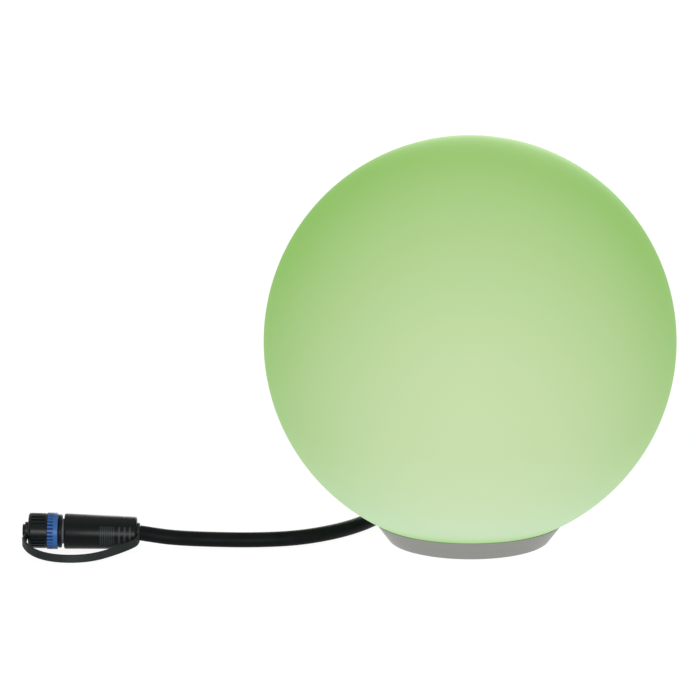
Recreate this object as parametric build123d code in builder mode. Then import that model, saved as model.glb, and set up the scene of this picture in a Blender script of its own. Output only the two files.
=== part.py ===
"""Garden globe light: a glowing globe on a low conical ring, with a plug-in lead.

Millimetres, +Z up. The origin is the centre of the feet's underside. +X points to the right of
the photograph and +Y away from its camera. The plug lies at the end of the lead, along -X.
"""
import math
import os

from build123d import *

# ---------------------------------------------------------------- driving dimensions: globe
GLOBE_R = 100.0              # outer radius of the diffuser globe
GLOBE_WALL = 2.5             # wall of the globe
GLOBE_CUT_R = 45.4           # radius of the circle on which the globe ends
LIP_T = 2.5                  # thickness of the flat lip round the globe's mouth

# ---------------------------------------------------------------- driving dimensions: shared
SMALL_GAP = 0.1              # gap between neighbours that are fixed to each other
CUT_OVER = 1.0               # how far a cutting shape runs past the surface it opens
ROUND_SHARE = 0.9            # largest share of a wall that the round on its edge takes
BEND_SHARE = 0.45            # share of its shorter run that a bend takes

# ---------------------------------------------------------------- driving dimensions: base
RING_LAP = 0.2               # how far the ring's top edge stands above the globe's underside
RING_FLARE = 7.5             # how much wider the ring is at its top than at its foot
RING_WALL = 1.6
RING_GAP = 0.3               # light gap between ring and globe
RING_FLANGE_T = 1.8
RING_EDGE_ROUND = 1.4
RING_FLANGE_GAP = 1.0        # ring's flange outside the spigot
GROUND_GAP = 0.3             # ring's lower edge above the ground
PAN_CLEAR = 0.2              # pan's edge inside the ring
FEET_PROUD = 0.5             # how far the feet lift the pan
PAN_FLOOR = 2.0
SCREW_LAND = 5.3             # land for the ring's screws, between spigot and ring wall
CUP_WALL = 4.0               # wall of the spigot, which is the driver cup
SPIGOT_PROUD = 1.6           # spigot above the collar
FOOT_R = 4.0
FOOT_T = 1.3
FOOT_CIRCLE_INSET = 4.0      # feet's centres inside the cup wall's bore

# ---------------------------------------------------------------- driving dimensions: bayonet
COLLAR_GAP = 0.3             # collar's bore round the spigot
COLLAR_WALL = 2.1
COLLAR_SEAT_GAP = 0.2        # collar in the globe's mouth
COLLAR_FLANGE_T = 2.0
COLLAR_FLANGE_W = 5.0
COLLAR_TOP = 1.4             # collar above its lugs
LUG_RISE = 0.6               # lugs above the collar's flange
LUG_H = 2.0
LUG_DEPTH = 1.3
LUG_ANGLE = 14.0             # width of a lug in degrees
LUG_COUNT = 3
LUG_PLAY = 0.3               # play above and below a lug in its slot
LUG_FLOOR_GAP = 0.4          # lug's tip to the slot's floor
LUG_SIDE_PLAY = 1.0          # play beside a lug in degrees
TWIST_DEG = 40.0             # turn from locked to free
SEAL_H = 1.6
SEAL_ROUND = 0.4
SEAL_DEPTH = 0.9
SEAL_GAP = 0.15              # seal's lip to the collar's bore
SEAL_Z_OFFSET = 1.2          # seal groove above the globe's underside

# ---------------------------------------------------------------- driving dimensions: lead
CORD_D = 7.4
CORD_TAIL_RISE = 2.5         # degrees by which the held stretch climbs into the base
CORD_AZIMUTH = 45.0          # where the lead enters the base
CORD_EXIT_RHO = 46.0         # where the free stretch begins, from the globe's axis
CORD_EXIT_Z = 4.76
CORD_EXIT_RUN = 22.0         # straight run from the base until the lead lies on the ground
PLUG_LEAD_RUN = 13.6         # straight run into the plug
COVER_INSET = 12.5           # from the exit in to where the globe's lip covers the bush
CORD_TAIL_END_RHO = 17.5
NOTCH_GAP = 0.3              # clearance round the lead in the ring's arch
NOTCH_CUT = 20.0             # reach of the cuts that open the arch downwards and outwards
BUSH_WALL = 0.55
BUSH_LENGTH = 6.0
BUSH_COVER = 0.5             # free height between the bush and the globe's lip
BUSH_FACE = 0.6              # bush's outer end beyond the spigot's wall
GLAND_WALL = 1.7             # wall of the moulded gland round the bush
GLAND_REACH = 2.5            # gland inside the cup
LEAD_D = 1.5                 # single conductors
LEAD_BEND = 2.4
LEAD_PITCH = 3.2
LEAD_INSET = 1.5             # how far the conductors stand in the terminal block

# ---------------------------------------------------------------- driving dimensions: fasteners
SHANK_R = 1.25
HEAD_R = 2.4
HEAD_H = 1.2
RECESS_L = 2.9               # cross recess in a screw's head
RECESS_W = 0.7
PILOT_GAP = 0.05             # pilot holes round their screws
THROUGH_GAP = 0.3            # clearance holes round their screws
BOSS_WALL = 1.7
LEAST_SKIN = 0.5
SHORT_SHANK = 5.0            # shank in a board's standoff
LONG_SHANK = 9.0             # shank in a heat sink boss
RING_BOSS_H = 3.6            # boss above the ring's flange

# ---------------------------------------------------------------- driving dimensions: driver
BOARD_T = 1.6
BOARD_RISE = 0.7             # board above the clamp's arch
BOARD_CLEAR = 1.0            # board's edge to the heat sink's bosses
CLAMP_L = 5.5                # clamp along the lead
CLAMP_ARCH = 1.1             # material over the lead
CLAMP_EDGE = 0.2             # wing outside its screw's head
CLAMP_WING_T = 1.6
CLAMP_GAP = 0.05
CLAMP_INSET = 1.0            # clamp in front of the jacket's end
CLAMP_LIFT = 0.3             # clamp's foot above the lead's middle line
CLAMP_HEAD_GAP = 0.15        # clamp's arch to its screw's head
STANDOFF_RIM = 0.2           # standoff outside its screw's head
STANDOFF_INSET = 1.0         # standoffs inside the board's edge
TERMINAL_SIZE = (7.0, 9.0, 5.6)
TERMINAL_RHO = 9.2
WELL_R = 1.05                # wells over the terminal's clamping screws
WELL_DEPTH = 1.0
RADIO_CARD = (14.0, 11.0, 1.0)
RADIO_CAN = (9.8, 9.4, 1.6)
RADIO_CAN_SHIFT = 1.4        # shield off the card's middle
RADIO_PLACE = (-9.5, 6.8)
CAPACITOR_D = 5.6
CAPACITOR_L = 11.0
CAPACITOR_ROUND = 0.5
CAPACITOR_PLACE = (-1.0, -12.8)
INDUCTOR_D = 9.0
INDUCTOR_H = 5.2
INDUCTOR_ROUND = 2.2
INDUCTOR_PLACE = (11.5, -11.0)
LED_LEAD_D = 1.2
LED_LEAD_PLACES = ((-1.3, -2.0), (1.3, -2.0))

# ---------------------------------------------------------------- driving dimensions: light engine
GASKET_T = 0.8
GASKET_INSET = 0.3           # gasket inside the bayonet's slot floor
GASKET_CLEAR = 0.6           # gasket outside the cup's bore
BOSS_BITE = 0.2              # heat sink's bosses into the cup's wall
FIN_CLEAR = 0.6              # fins inside the lens bead
SINK_FLANGE_T = 2.5
SINK_CORE_R = 12.5
SINK_BORE_R = 3.2
SINK_FIN_H = 6.7
SINK_FIN_T = 1.4
SINK_FIN_COUNT = 12
LENS_WALL = 1.4
LENS_INSET = 3.9             # lens inside the heat sink's flange
LENS_FIT = 0.2               # lens skirt round the LED board
LENS_SKIRT = 3.0             # skirt below the LED board
LENS_BEAD = 0.6
LENS_RISE = 12.0             # height of the dome
LENS_LEDGE = 1.6
LED_BOARD_T = 1.6
LED_CHIP = 3.5
LED_CHIP_H = 0.9
LED_RINGS = ((5.0, 4), (13.5, 8))
LED_SCREW_RHO = 19.5

# ---------------------------------------------------------------- driving dimensions: plug
PLUG_EXIT = (-160.1, -17.6)  # where the lead enters the plug, on the ground plane
PLUG_EXIT_Z = 7.87
PLUG_RISE = 1.4              # tilt of the plug's axis in degrees, front end higher
COLLAR_SPAN = 1.5            # small rear collar that the strap's eye sits on
COLLAR_R = 4.3
GRIP_L = 35.1
GRIP_REAR_R = 7.85
GRIP_FRONT_R = 8.6
GRIP_ROUND = 0.9
NECK_L = 1.1
NECK_R = 5.4
NECK_DEPTH = 6.6             # how deep the barrel's stem is moulded into the grip
NECK_SEAL_R = 6.1
FLANGE_L = 1.7
FLANGE_R = 8.1
FLANGE_ROUND = 0.5
BARREL_R = 6.6
BARREL_BORE_R = 5.2
BARREL_L = 12.6
BARREL_WEB = 1.2             # web between the barrel's bore and its stem
LOCK_L = 5.1
LOCK_R = 8.85
LOCK_TEETH = 30
LOCK_TOOTH_L = 2.9
LOCK_TOOTH_DEPTH = 0.5
LOCK_TOOTH_GAP = 0.55        # gap between teeth, as a share of their pitch
LOCK_ROUND = 0.4
LOCK_TURN_DEG = 60.0
LOCK_LUG_L = 1.6
LOCK_LUG_ANGLE = 24.0
PLUG_LUG_DEPTH = 0.5
LOCK_LUG_OFFSET = 1.0        # lug behind the ring's rear face
RUNNING_GAP = 0.1
END_GAP = 0.2                # axial play beside turning pieces
CAP_L = 9.1
CAP_R = 8.5
CAP_RIBS = 26
CAP_RIB_DEPTH = 0.35
CAP_RIB_GAP = 0.45           # groove between ribs, as a share of their pitch
CAP_PLAIN = 0.8              # plain band at the cap's rear end
CAP_ROUND = 1.2
KNOB_STEM_R = 1.6
KNOB_HEAD_R = 3.0
KNOB_HEAD_L = 1.0
KNOB_ROUND = 0.45
STRAP_EYE_T = 1.5
STRAP_EYE_GAP = 0.15
STRAP_EYE_R = 4.1
STRAP_REAR_EYE_R = 5.35
STRAP_W = 3.9
STRAP_T = 1.3
STRAP_STATIONS = 15          # cross-sections that the strap is drawn through
CARRIER_L = 6.0
PIN_R = 0.5
PIN_L = 10.5
PIN_CIRCLE = 2.9
PIN_COUNT = 4
PIN_ROUND = 0.3
BARREL_SEAL_L = 1.4
BARREL_SEAL_DEPTH = 0.6
BARREL_SEAL_OFFSET = 0.8     # seal in front of the cap's rear rim
CAP_LUG_L = 1.4
CAP_LUG_ANGLE = 24.0
CAP_LUG_INSET = 1.8          # cap's lugs behind the barrel's front end
CAP_TURN_DEG = 90.0
LUG_ROOT = 0.4               # how deep the plug's lugs root in their ring
RIB_COUNT = 17
RIB_PITCH = 1.05
RIB_GROOVE = 0.5
RIB_DEPTH = 0.35
RIB_ARC = 58.0
RIB_START = 4.4              # first groove in front of the grip's rear end

# The free stretch of the lead between its two straight end runs, as chosen points.
CORD_ROUTE = [
    (54.2, 69.7, 3.8),
    (48.8, 91.2, 3.8),
    (33.5, 107.2, 3.8),
    (12.2, 113.6, 3.8),
    (-9.3, 108.7, 3.8),
    (-25.7, 93.7, 3.8),
    (-34.8, 66.0, 3.8),
    (-41.6, 43.6, 3.8),
    (-52.8, 23.6, 3.8),
    (-66.2, 6.0, 3.8),
    (-84.0, -8.8, 3.8),
    (-104.6, -14.2, 3.8),
    (-128.0, -14.2, 4.5),
]
# The strap's middle line, from the eye on the knob round to the eye behind the grip.
STRAP_ROUTE = [
    (-215.05, -19.5, 7.9),
    (-215.3, -25.6, 6.0),
    (-210.6, -34.6, 3.2),
    (-202.8, -41.6, 2.1),
    (-192.4, -44.2, 2.0),
    (-181.8, -41.6, 2.1),
    (-172.4, -34.6, 3.0),
    (-163.8, -28.9, 4.9),
    (-160.4, -25.5, 6.2),
    (-160.7, -20.6, 7.8),
]

# ---------------------------------------------------------------- worked out from them
CORD_R = CORD_D / 2
spigot_hole_r = CORD_R + BUSH_WALL
tail_slope = math.tan(math.radians(CORD_TAIL_RISE))


def tail_z(rho):
    """Height of the held stretch's middle line at a distance from the globe's axis."""
    return CORD_EXIT_Z + (CORD_EXIT_RHO - rho) * tail_slope


def sphere_z(radius, rho):
    """Drop from a sphere's centre to its surface at a distance from its axis."""
    return math.sqrt(radius ** 2 - rho ** 2)


globe_z0 = tail_z(CORD_EXIT_RHO - COVER_INSET) + spigot_hole_r + BUSH_COVER
globe_centre = globe_z0 + sphere_z(GLOBE_R, GLOBE_CUT_R)
ring_top_z = globe_z0 + RING_LAP
ring_top_r = sphere_z(GLOBE_R + RING_GAP, globe_centre - ring_top_z)
ring_foot_r = ring_top_r - RING_FLARE
ring_bore_r = ring_foot_r - RING_WALL
spigot_r = ring_bore_r - SCREW_LAND
cup_r = spigot_r - CUP_WALL
pan_r = ring_bore_r - PAN_CLEAR
pan_top = FEET_PROUD + PAN_FLOOR
ring_screw_rho = (spigot_r + ring_bore_r) / 2

lip_top = globe_z0 + LIP_T
collar_bore_r = spigot_r + COLLAR_GAP
collar_r = collar_bore_r + COLLAR_WALL
mouth_r = collar_r + COLLAR_SEAT_GAP
collar_flange_r = collar_r + COLLAR_FLANGE_W
collar_screw_rho = (mouth_r + collar_flange_r) / 2
flange_top = lip_top + COLLAR_FLANGE_T
lug_z0 = flange_top + LUG_RISE
lug_z1 = lug_z0 + LUG_H
collar_top = lug_z1 + COLLAR_TOP
lug_tip_r = collar_bore_r - LUG_DEPTH
slot_floor_r = lug_tip_r - LUG_FLOOR_GAP
spigot_top = collar_top + SPIGOT_PROUD

screw_hole_r = SHANK_R + THROUGH_GAP
pilot_r = SHANK_R + PILOT_GAP
boss_r = pilot_r + BOSS_WALL
ring_boss_r = min(boss_r, ring_screw_rho - spigot_r - SMALL_GAP)
ring_boss_h = RING_FLANGE_T + RING_BOSS_H
ring_flange_r = spigot_r + RING_FLANGE_GAP
ring_edge_drop = RING_WALL * (ring_top_r / (globe_centre - ring_top_z))
flange_flare = RING_FLARE * (RING_FLANGE_T + PAN_FLOOR) / (ring_top_z - GROUND_GAP)
ring_screw_seat = FEET_PROUD + HEAD_H + SMALL_GAP
sink_screw_rho = cup_r - boss_r + BOSS_BITE
sink_z = spigot_top + GASKET_T
sink_flange_r = slot_floor_r - SMALL_GAP
fin_top = sink_z + SINK_FLANGE_T + SINK_FIN_H
lens_r = sink_flange_r - LENS_INSET
skirt_bore_r = lens_r - LENS_WALL
led_board_r = skirt_bore_r - LENS_FIT
fin_r = skirt_bore_r - LENS_BEAD - FIN_CLEAR
led_board_top = fin_top + LED_BOARD_T

bush_rho0 = spigot_r + BUSH_FACE - BUSH_LENGTH
notch_r = CORD_R + NOTCH_GAP
seal_z = globe_z0 + SEAL_Z_OFFSET
seal_floor_r = spigot_r - SEAL_DEPTH
clamp_rho = CORD_TAIL_END_RHO + CLAMP_INSET + CLAMP_L / 2
clamp_foot_z = tail_z(clamp_rho) + CLAMP_LIFT
clamp_wing_top = clamp_foot_z + CLAMP_WING_T
clamp_top = tail_z(clamp_rho - CLAMP_L / 2) + CORD_R + CLAMP_GAP + CLAMP_ARCH
clamp_arch_half = CORD_R + CLAMP_GAP + CLAMP_ARCH
clamp_screw_offset = clamp_arch_half + HEAD_R + CLAMP_HEAD_GAP
clamp_half = clamp_screw_offset + HEAD_R + CLAMP_EDGE
board_z = clamp_top + BOARD_RISE
board_top = board_z + BOARD_T
board_r = sink_screw_rho - boss_r - BOARD_CLEAR
standoff_r = HEAD_R + STANDOFF_RIM
standoff_rho = board_r - standoff_r - STANDOFF_INSET
foot_rho = cup_r - FOOT_CIRCLE_INSET

grip_end = COLLAR_SPAN + GRIP_L
flange_start = grip_end + NECK_L
barrel_start = flange_start + FLANGE_L
neck_bore_r = NECK_R + PILOT_GAP
bore_start = flange_start + BARREL_WEB
lock_start = barrel_start + END_GAP
lock_end = lock_start + LOCK_L
cap_start = lock_end + END_GAP
barrel_end = barrel_start + BARREL_L
cap_end = cap_start + CAP_L
cap_floor = barrel_end + END_GAP
eye_start = cap_end + END_GAP
eye_end = eye_start + STRAP_EYE_T
head_start = eye_end + END_GAP
head_end = head_start + KNOB_HEAD_L
turning_bore_r = BARREL_R + RUNNING_GAP
seal_start = cap_start + BARREL_SEAL_OFFSET
barrel_seal_r = BARREL_R - BARREL_SEAL_DEPTH
plug_lug_r = BARREL_R - PLUG_LUG_DEPTH
plug_slot_r = plug_lug_r - RUNNING_GAP
lock_lug_start = lock_start + LOCK_LUG_OFFSET
lock_lug_end = lock_lug_start + LOCK_LUG_L
cap_lug_end = barrel_end - CAP_LUG_INSET
cap_lug_start = cap_lug_end - CAP_LUG_L
tooth_gap = LOCK_TOOTH_GAP * math.tau * LOCK_R / LOCK_TEETH
cap_groove = CAP_RIB_GAP * math.tau * CAP_R / CAP_RIBS

QUARTERS = [0, 90, 180, 270]
DIAGONALS = [45, 135, 225, 315]
THIRDS = [90, 210, 330]
STANDOFFS = [105, 225, 345]
LED_SCREWS = [60, 180, 300]
PLUG_LUG_STARTS = [0, 180]
LUG_START = 30.0
lug_starts = [LUG_START + lug * 360 / LUG_COUNT - LUG_ANGLE / 2 for lug in range(LUG_COUNT)]

cord_azimuth = math.radians(CORD_AZIMUTH)
tail_rise = math.radians(CORD_TAIL_RISE)
outward = Vector(math.cos(cord_azimuth), math.sin(cord_azimuth), 0)
sideways = Vector(-math.sin(cord_azimuth), math.cos(cord_azimuth), 0)
tail_dir = outward * math.cos(tail_rise) - Vector(0, 0, math.sin(tail_rise))

clamp_screw_places = [
    tuple(outward * clamp_rho + sideways * offset)[:2]
    for offset in (-clamp_screw_offset, clamp_screw_offset)
]
terminal_plane = Plane(
    outward * TERMINAL_RHO + Vector(0, 0, board_z), x_dir=outward, z_dir=(0, 0, 1)
)

plug_rise = math.radians(PLUG_RISE)
plug_origin = Vector(*PLUG_EXIT, PLUG_EXIT_Z)
plug_dir = Vector(-math.cos(plug_rise), 0, math.sin(plug_rise))
plug_axis = Axis(plug_origin, plug_dir)
plug_section = Plane(plug_origin, x_dir=plug_dir, z_dir=(0, 1, 0))


def upright_plane(angle):
    """Upright plane through the globe's axis, at an azimuth."""
    return Plane.XZ.rotated((0, 0, angle))


def tail_plane(rho):
    """Plane across the held stretch of the lead, facing outward."""
    place = outward * rho + Vector(0, 0, tail_z(rho))
    return Plane(place, x_dir=sideways, z_dir=tail_dir)


def plug_plane(along):
    """Plane across the plug at a distance in front of its rear end, facing forward."""
    return Plane(plug_origin + plug_dir * along, x_dir=(0, -1, 0), z_dir=plug_dir)


def plug_side(angle):
    """Plane through the plug's axis, its radial direction turned from up towards the back."""
    turn = math.radians(angle)
    radial = plug_section.y_dir * math.cos(turn) + plug_section.z_dir * math.sin(turn)
    return Plane(plug_origin, x_dir=plug_dir, z_dir=plug_dir.cross(radial))


def around(rho, angles):
    """Places at a distance from the globe's axis, one at each azimuth."""
    turns = [math.radians(angle) for angle in angles]
    return [(rho * math.cos(turn), rho * math.sin(turn)) for turn in turns]


def outline(*points):
    """Closed straight-sided face in the sketch that is open."""
    Polygon(*points, align=None)


def box_face(x0, x1, y0, y1):
    """Rectangle between two pairs of limits in the sketch that is open."""
    with Locations(((x0 + x1) / 2, (y0 + y1) / 2)):
        Rectangle(x1 - x0, y1 - y0)


def turned(plane, axis, limits, arc=360, mode=Mode.ADD):
    """Turn a rectangle, given by its limits on a plane, about an axis."""
    with BuildSketch(plane) as section:
        box_face(*limits)
    revolve(section.sketch, axis=axis, revolution_arc=arc, mode=mode)


def discs(height, places, radius, amount, mode=Mode.ADD):
    """Extrude a circle at each place, from a height."""
    with BuildSketch(Plane.XY.offset(height)) as section:
        with Locations(*places):
            Circle(radius)
    extrude(section.sketch, amount=amount, mode=mode)


def screws(name, places, seat, shank, up=True):
    """Group of pan-head screws with their heads on a seat plane, as separate solids."""
    sign = 1 if up else -1
    with BuildPart() as group:
        discs(seat, places, HEAD_R, sign * HEAD_H)
        discs(seat, places, SHANK_R, -sign * shank)
        with BuildSketch(Plane.XY.offset(seat + sign * HEAD_H)):
            with Locations(*places):
                Rectangle(RECESS_L, RECESS_W)
                Rectangle(RECESS_W, RECESS_L)
        extrude(amount=-sign * HEAD_H / 2, mode=Mode.SUBTRACT)
    keep(group.part, name)


def keep(part, name):
    """Label a finished piece and write its file."""
    part.label = name
    export_step(part, f"parts/{name}.step")


def cord_radii(points):
    """Bend radius at each inner point: as large as its two runs allow."""
    radii = []
    for before, here, after in zip(points, points[1:], points[2:]):
        shorter = min((here - before).length, (after - here).length)
        half_turn = math.radians((here - before).get_angle(after - here)) / 2
        radii.append(BEND_SHARE * shorter / math.tan(half_turn))
    return radii


collar_screw_places = around(collar_screw_rho, DIAGONALS)
ring_screw_places = around(ring_screw_rho, QUARTERS)
foot_places = around(foot_rho, QUARTERS)
standoff_places = around(standoff_rho, STANDOFFS)
sink_screw_places = around(sink_screw_rho, THIRDS)
led_screw_places = around(LED_SCREW_RHO, LED_SCREWS)

os.makedirs("parts", exist_ok=True)

# ================================================================ globe
globe_bore_r = GLOBE_R - GLOBE_WALL
lip_meet_r = sphere_z(globe_bore_r, globe_centre - lip_top)
with BuildPart() as globe_shell:
    with BuildSketch(Plane.XZ):
        with BuildLine():
            Line((mouth_r, globe_z0), (GLOBE_CUT_R, globe_z0))
            ThreePointArc(
                (GLOBE_CUT_R, globe_z0), (GLOBE_R, globe_centre), (0, globe_centre + GLOBE_R)
            )
            Line((0, globe_centre + GLOBE_R), (0, globe_centre + globe_bore_r))
            ThreePointArc(
                (0, globe_centre + globe_bore_r), (globe_bore_r, globe_centre), (lip_meet_r, lip_top)
            )
            Line((lip_meet_r, lip_top), (mouth_r, lip_top))
            Line((mouth_r, lip_top), (mouth_r, globe_z0))
        make_face()
    revolve(axis=Axis.Z)
    discs(lip_top, collar_screw_places, pilot_r, LEAST_SKIN - LIP_T, Mode.SUBTRACT)
keep(globe_shell.part, "globe_shell")

with BuildPart() as globe_collar:
    with BuildSketch(Plane.XZ):
        outline(
            (collar_bore_r, globe_z0),
            (collar_r, globe_z0),
            (collar_r, lip_top),
            (collar_flange_r, lip_top),
            (collar_flange_r, flange_top),
            (collar_r, flange_top),
            (collar_r, collar_top),
            (collar_bore_r, collar_top),
        )
    revolve(axis=Axis.Z)
    lug_limits = (lug_tip_r, collar_bore_r + COLLAR_WALL / 2, lug_z0, lug_z1)
    for start in lug_starts:
        turned(upright_plane(start), Axis.Z, lug_limits, LUG_ANGLE)
    discs(flange_top, collar_screw_places, screw_hole_r, -COLLAR_FLANGE_T, Mode.SUBTRACT)
keep(globe_collar.part, "globe_collar")

screws(
    "collar_screws",
    collar_screw_places,
    flange_top,
    COLLAR_FLANGE_T + LIP_T - LEAST_SKIN - PILOT_GAP,
)

# ================================================================ base: ring, pan and feet
with BuildPart() as base_ring:
    with BuildSketch(Plane.XZ):
        with BuildLine():
            Polyline(
                (ring_bore_r, GROUND_GAP),
                (ring_foot_r, GROUND_GAP),
                (ring_top_r, ring_top_z),
                (ring_top_r - RING_WALL, ring_top_z - ring_edge_drop),
                (ring_bore_r + flange_flare, pan_top + RING_FLANGE_T),
                (ring_flange_r, pan_top + RING_FLANGE_T),
                (ring_flange_r, pan_top),
                (ring_bore_r, pan_top),
                close=True,
            )
        make_face()
    revolve(axis=Axis.Z)
    foot_edge = base_ring.edges().filter_by(GeomType.CIRCLE).group_by(Axis.Z)[0].sort_by(SortBy.RADIUS)[-1]
    fillet(foot_edge, min(RING_EDGE_ROUND, ROUND_SHARE * RING_WALL))
    discs(pan_top, ring_screw_places, ring_boss_r, ring_boss_h)
    discs(pan_top, ring_screw_places, pilot_r, ring_boss_h - LEAST_SKIN, Mode.SUBTRACT)
    with BuildSketch(tail_plane(spigot_r)):
        Circle(notch_r)
        box_face(-notch_r, notch_r, -NOTCH_CUT, 0)
    extrude(amount=NOTCH_CUT, mode=Mode.SUBTRACT)
keep(base_ring.part, "base_ring")

with BuildPart() as base_pan:
    with BuildSketch(Plane.XZ):
        outline((0, FEET_PROUD), (pan_r, FEET_PROUD), (pan_r, pan_top), (0, pan_top))
        outline((cup_r, FEET_PROUD), (spigot_r, FEET_PROUD), (spigot_r, spigot_top), (cup_r, spigot_top))
    revolve(axis=Axis.Z)
    discs(pan_top, standoff_places, standoff_r, board_z - pan_top)
    discs(pan_top, sink_screw_places, boss_r, sink_z - pan_top)
    discs(pan_top, clamp_screw_places, boss_r, clamp_foot_z - pan_top)
    with BuildSketch(tail_plane(cup_r - GLAND_REACH)):
        Circle(spigot_hole_r + GLAND_WALL)
        box_face(-spigot_hole_r - GLAND_WALL, spigot_hole_r + GLAND_WALL, -NOTCH_CUT, 0)
    extrude(amount=GLAND_REACH + CUP_WALL / 2)
    with BuildSketch(Plane.XY.offset(FEET_PROUD)):
        Circle(pan_r)
    extrude(amount=-NOTCH_CUT, mode=Mode.SUBTRACT)
    with BuildSketch(tail_plane(CORD_TAIL_END_RHO - CUT_OVER)):
        Circle(CORD_R + CLAMP_GAP)
    extrude(amount=cup_r - CORD_TAIL_END_RHO, mode=Mode.SUBTRACT)
    with BuildSketch(tail_plane(bush_rho0)):
        Circle(spigot_hole_r)
    extrude(amount=NOTCH_CUT, mode=Mode.SUBTRACT)
    with BuildSketch(tail_plane(spigot_r + NOTCH_GAP)):
        Circle(notch_r)
        box_face(-notch_r, notch_r, -NOTCH_CUT, 0)
    extrude(amount=NOTCH_CUT, mode=Mode.SUBTRACT)
    for start in lug_starts:
        channel = (slot_floor_r, spigot_r + CUT_OVER, lug_z0 - LUG_PLAY, lug_z1 + LUG_PLAY)
        entry = (slot_floor_r, spigot_r + CUT_OVER, lug_z0, spigot_top + CUT_OVER)
        lug_room = LUG_ANGLE + 2 * LUG_SIDE_PLAY
        turned(upright_plane(start - LUG_SIDE_PLAY), Axis.Z, channel, lug_room + TWIST_DEG, Mode.SUBTRACT)
        turned(upright_plane(start - LUG_SIDE_PLAY + TWIST_DEG), Axis.Z, entry, lug_room, Mode.SUBTRACT)
    seal_groove = (seal_floor_r, spigot_r + CUT_OVER, seal_z, seal_z + SEAL_H)
    turned(Plane.XZ, Axis.Z, seal_groove, mode=Mode.SUBTRACT)
    discs(FEET_PROUD, foot_places, FOOT_R + PILOT_GAP, FOOT_T - FEET_PROUD, Mode.SUBTRACT)
    discs(FEET_PROUD, ring_screw_places, HEAD_R + SMALL_GAP, ring_screw_seat - FEET_PROUD, Mode.SUBTRACT)
    discs(FEET_PROUD, ring_screw_places, screw_hole_r, PAN_FLOOR, Mode.SUBTRACT)
    discs(board_z, standoff_places, pilot_r, -SHORT_SHANK, Mode.SUBTRACT)
    discs(sink_z, sink_screw_places, pilot_r, -LONG_SHANK, Mode.SUBTRACT)
    discs(clamp_foot_z, clamp_screw_places, pilot_r, pan_top - clamp_foot_z, Mode.SUBTRACT)
keep(base_pan.part, "base_pan")

screws(
    "ring_screws",
    ring_screw_places,
    ring_screw_seat,
    pan_top - ring_screw_seat + ring_boss_h - LEAST_SKIN - PILOT_GAP,
    up=False,
)

with BuildPart() as rubber_feet:
    discs(0, foot_places, FOOT_R, FOOT_T)
keep(rubber_feet.part, "rubber_feet")

with BuildPart() as spigot_seal:
    turned(Plane.XZ, Axis.Z, (seal_floor_r, collar_bore_r - SEAL_GAP, seal_z, seal_z + SEAL_H))
    lip_edges = spigot_seal.edges().filter_by(GeomType.CIRCLE).sort_by(SortBy.RADIUS)[-2:]
    fillet(lip_edges, SEAL_ROUND)
keep(spigot_seal.part, "spigot_seal")

# ================================================================ base: the lead's entry
with BuildPart() as cord_bush:
    with BuildSketch(tail_plane(bush_rho0)):
        Circle(spigot_hole_r)
        Circle(CORD_R + CLAMP_GAP, mode=Mode.SUBTRACT)
    extrude(amount=BUSH_LENGTH)
keep(cord_bush.part, "cord_bush")

with BuildPart() as cord_tail:
    with BuildSketch(tail_plane(CORD_TAIL_END_RHO)):
        Circle(CORD_R)
    extrude(amount=(CORD_EXIT_RHO - CORD_TAIL_END_RHO) / math.cos(tail_rise))
keep(cord_tail.part, "cord_tail")

clamp_plane = Plane(outward * (clamp_rho - CLAMP_L / 2), x_dir=sideways, z_dir=outward)
with BuildPart() as cord_clamp:
    with BuildSketch(clamp_plane):
        box_face(-clamp_half, clamp_half, clamp_foot_z, clamp_wing_top)
        box_face(-clamp_arch_half, clamp_arch_half, clamp_foot_z, clamp_top)
    extrude(amount=CLAMP_L)
    with BuildSketch(tail_plane(CORD_TAIL_END_RHO)):
        Circle(CORD_R + CLAMP_GAP)
    extrude(amount=2 * CLAMP_L, mode=Mode.SUBTRACT)
    discs(clamp_foot_z, clamp_screw_places, screw_hole_r, CLAMP_WING_T, Mode.SUBTRACT)
keep(cord_clamp.part, "cord_clamp")

screws(
    "clamp_screws",
    clamp_screw_places,
    clamp_wing_top,
    CLAMP_WING_T + clamp_foot_z - pan_top - PILOT_GAP,
)

# ================================================================ base: driver
with BuildPart() as driver_board:
    discs(board_z, [(0, 0)], board_r, BOARD_T)
    discs(board_z, standoff_places, screw_hole_r, BOARD_T, Mode.SUBTRACT)
    with BuildSketch(terminal_plane):
        Rectangle(2 * LEAD_D, LEAD_PITCH + 2 * LEAD_D)
    extrude(amount=BOARD_T, mode=Mode.SUBTRACT)
keep(driver_board.part, "driver_board")

screws(
    "board_screws",
    standoff_places,
    board_top,
    BOARD_T + SHORT_SHANK - PILOT_GAP,
)

with BuildPart() as terminal_block:
    with BuildSketch(terminal_plane.offset(BOARD_T)):
        Rectangle(TERMINAL_SIZE[0], TERMINAL_SIZE[1])
    extrude(amount=TERMINAL_SIZE[2])
    with BuildSketch(terminal_plane.offset(BOARD_T)):
        with Locations((0, -LEAD_PITCH / 2), (0, LEAD_PITCH / 2)):
            Circle(LEAD_D / 2 + PILOT_GAP)
    extrude(amount=LEAD_INSET, mode=Mode.SUBTRACT)
    with BuildSketch(terminal_plane.offset(BOARD_T + TERMINAL_SIZE[2])):
        with Locations((0, -LEAD_PITCH / 2), (0, LEAD_PITCH / 2)):
            Circle(WELL_R)
    extrude(amount=-WELL_DEPTH, mode=Mode.SUBTRACT)
keep(terminal_block.part, "terminal_block")

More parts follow.
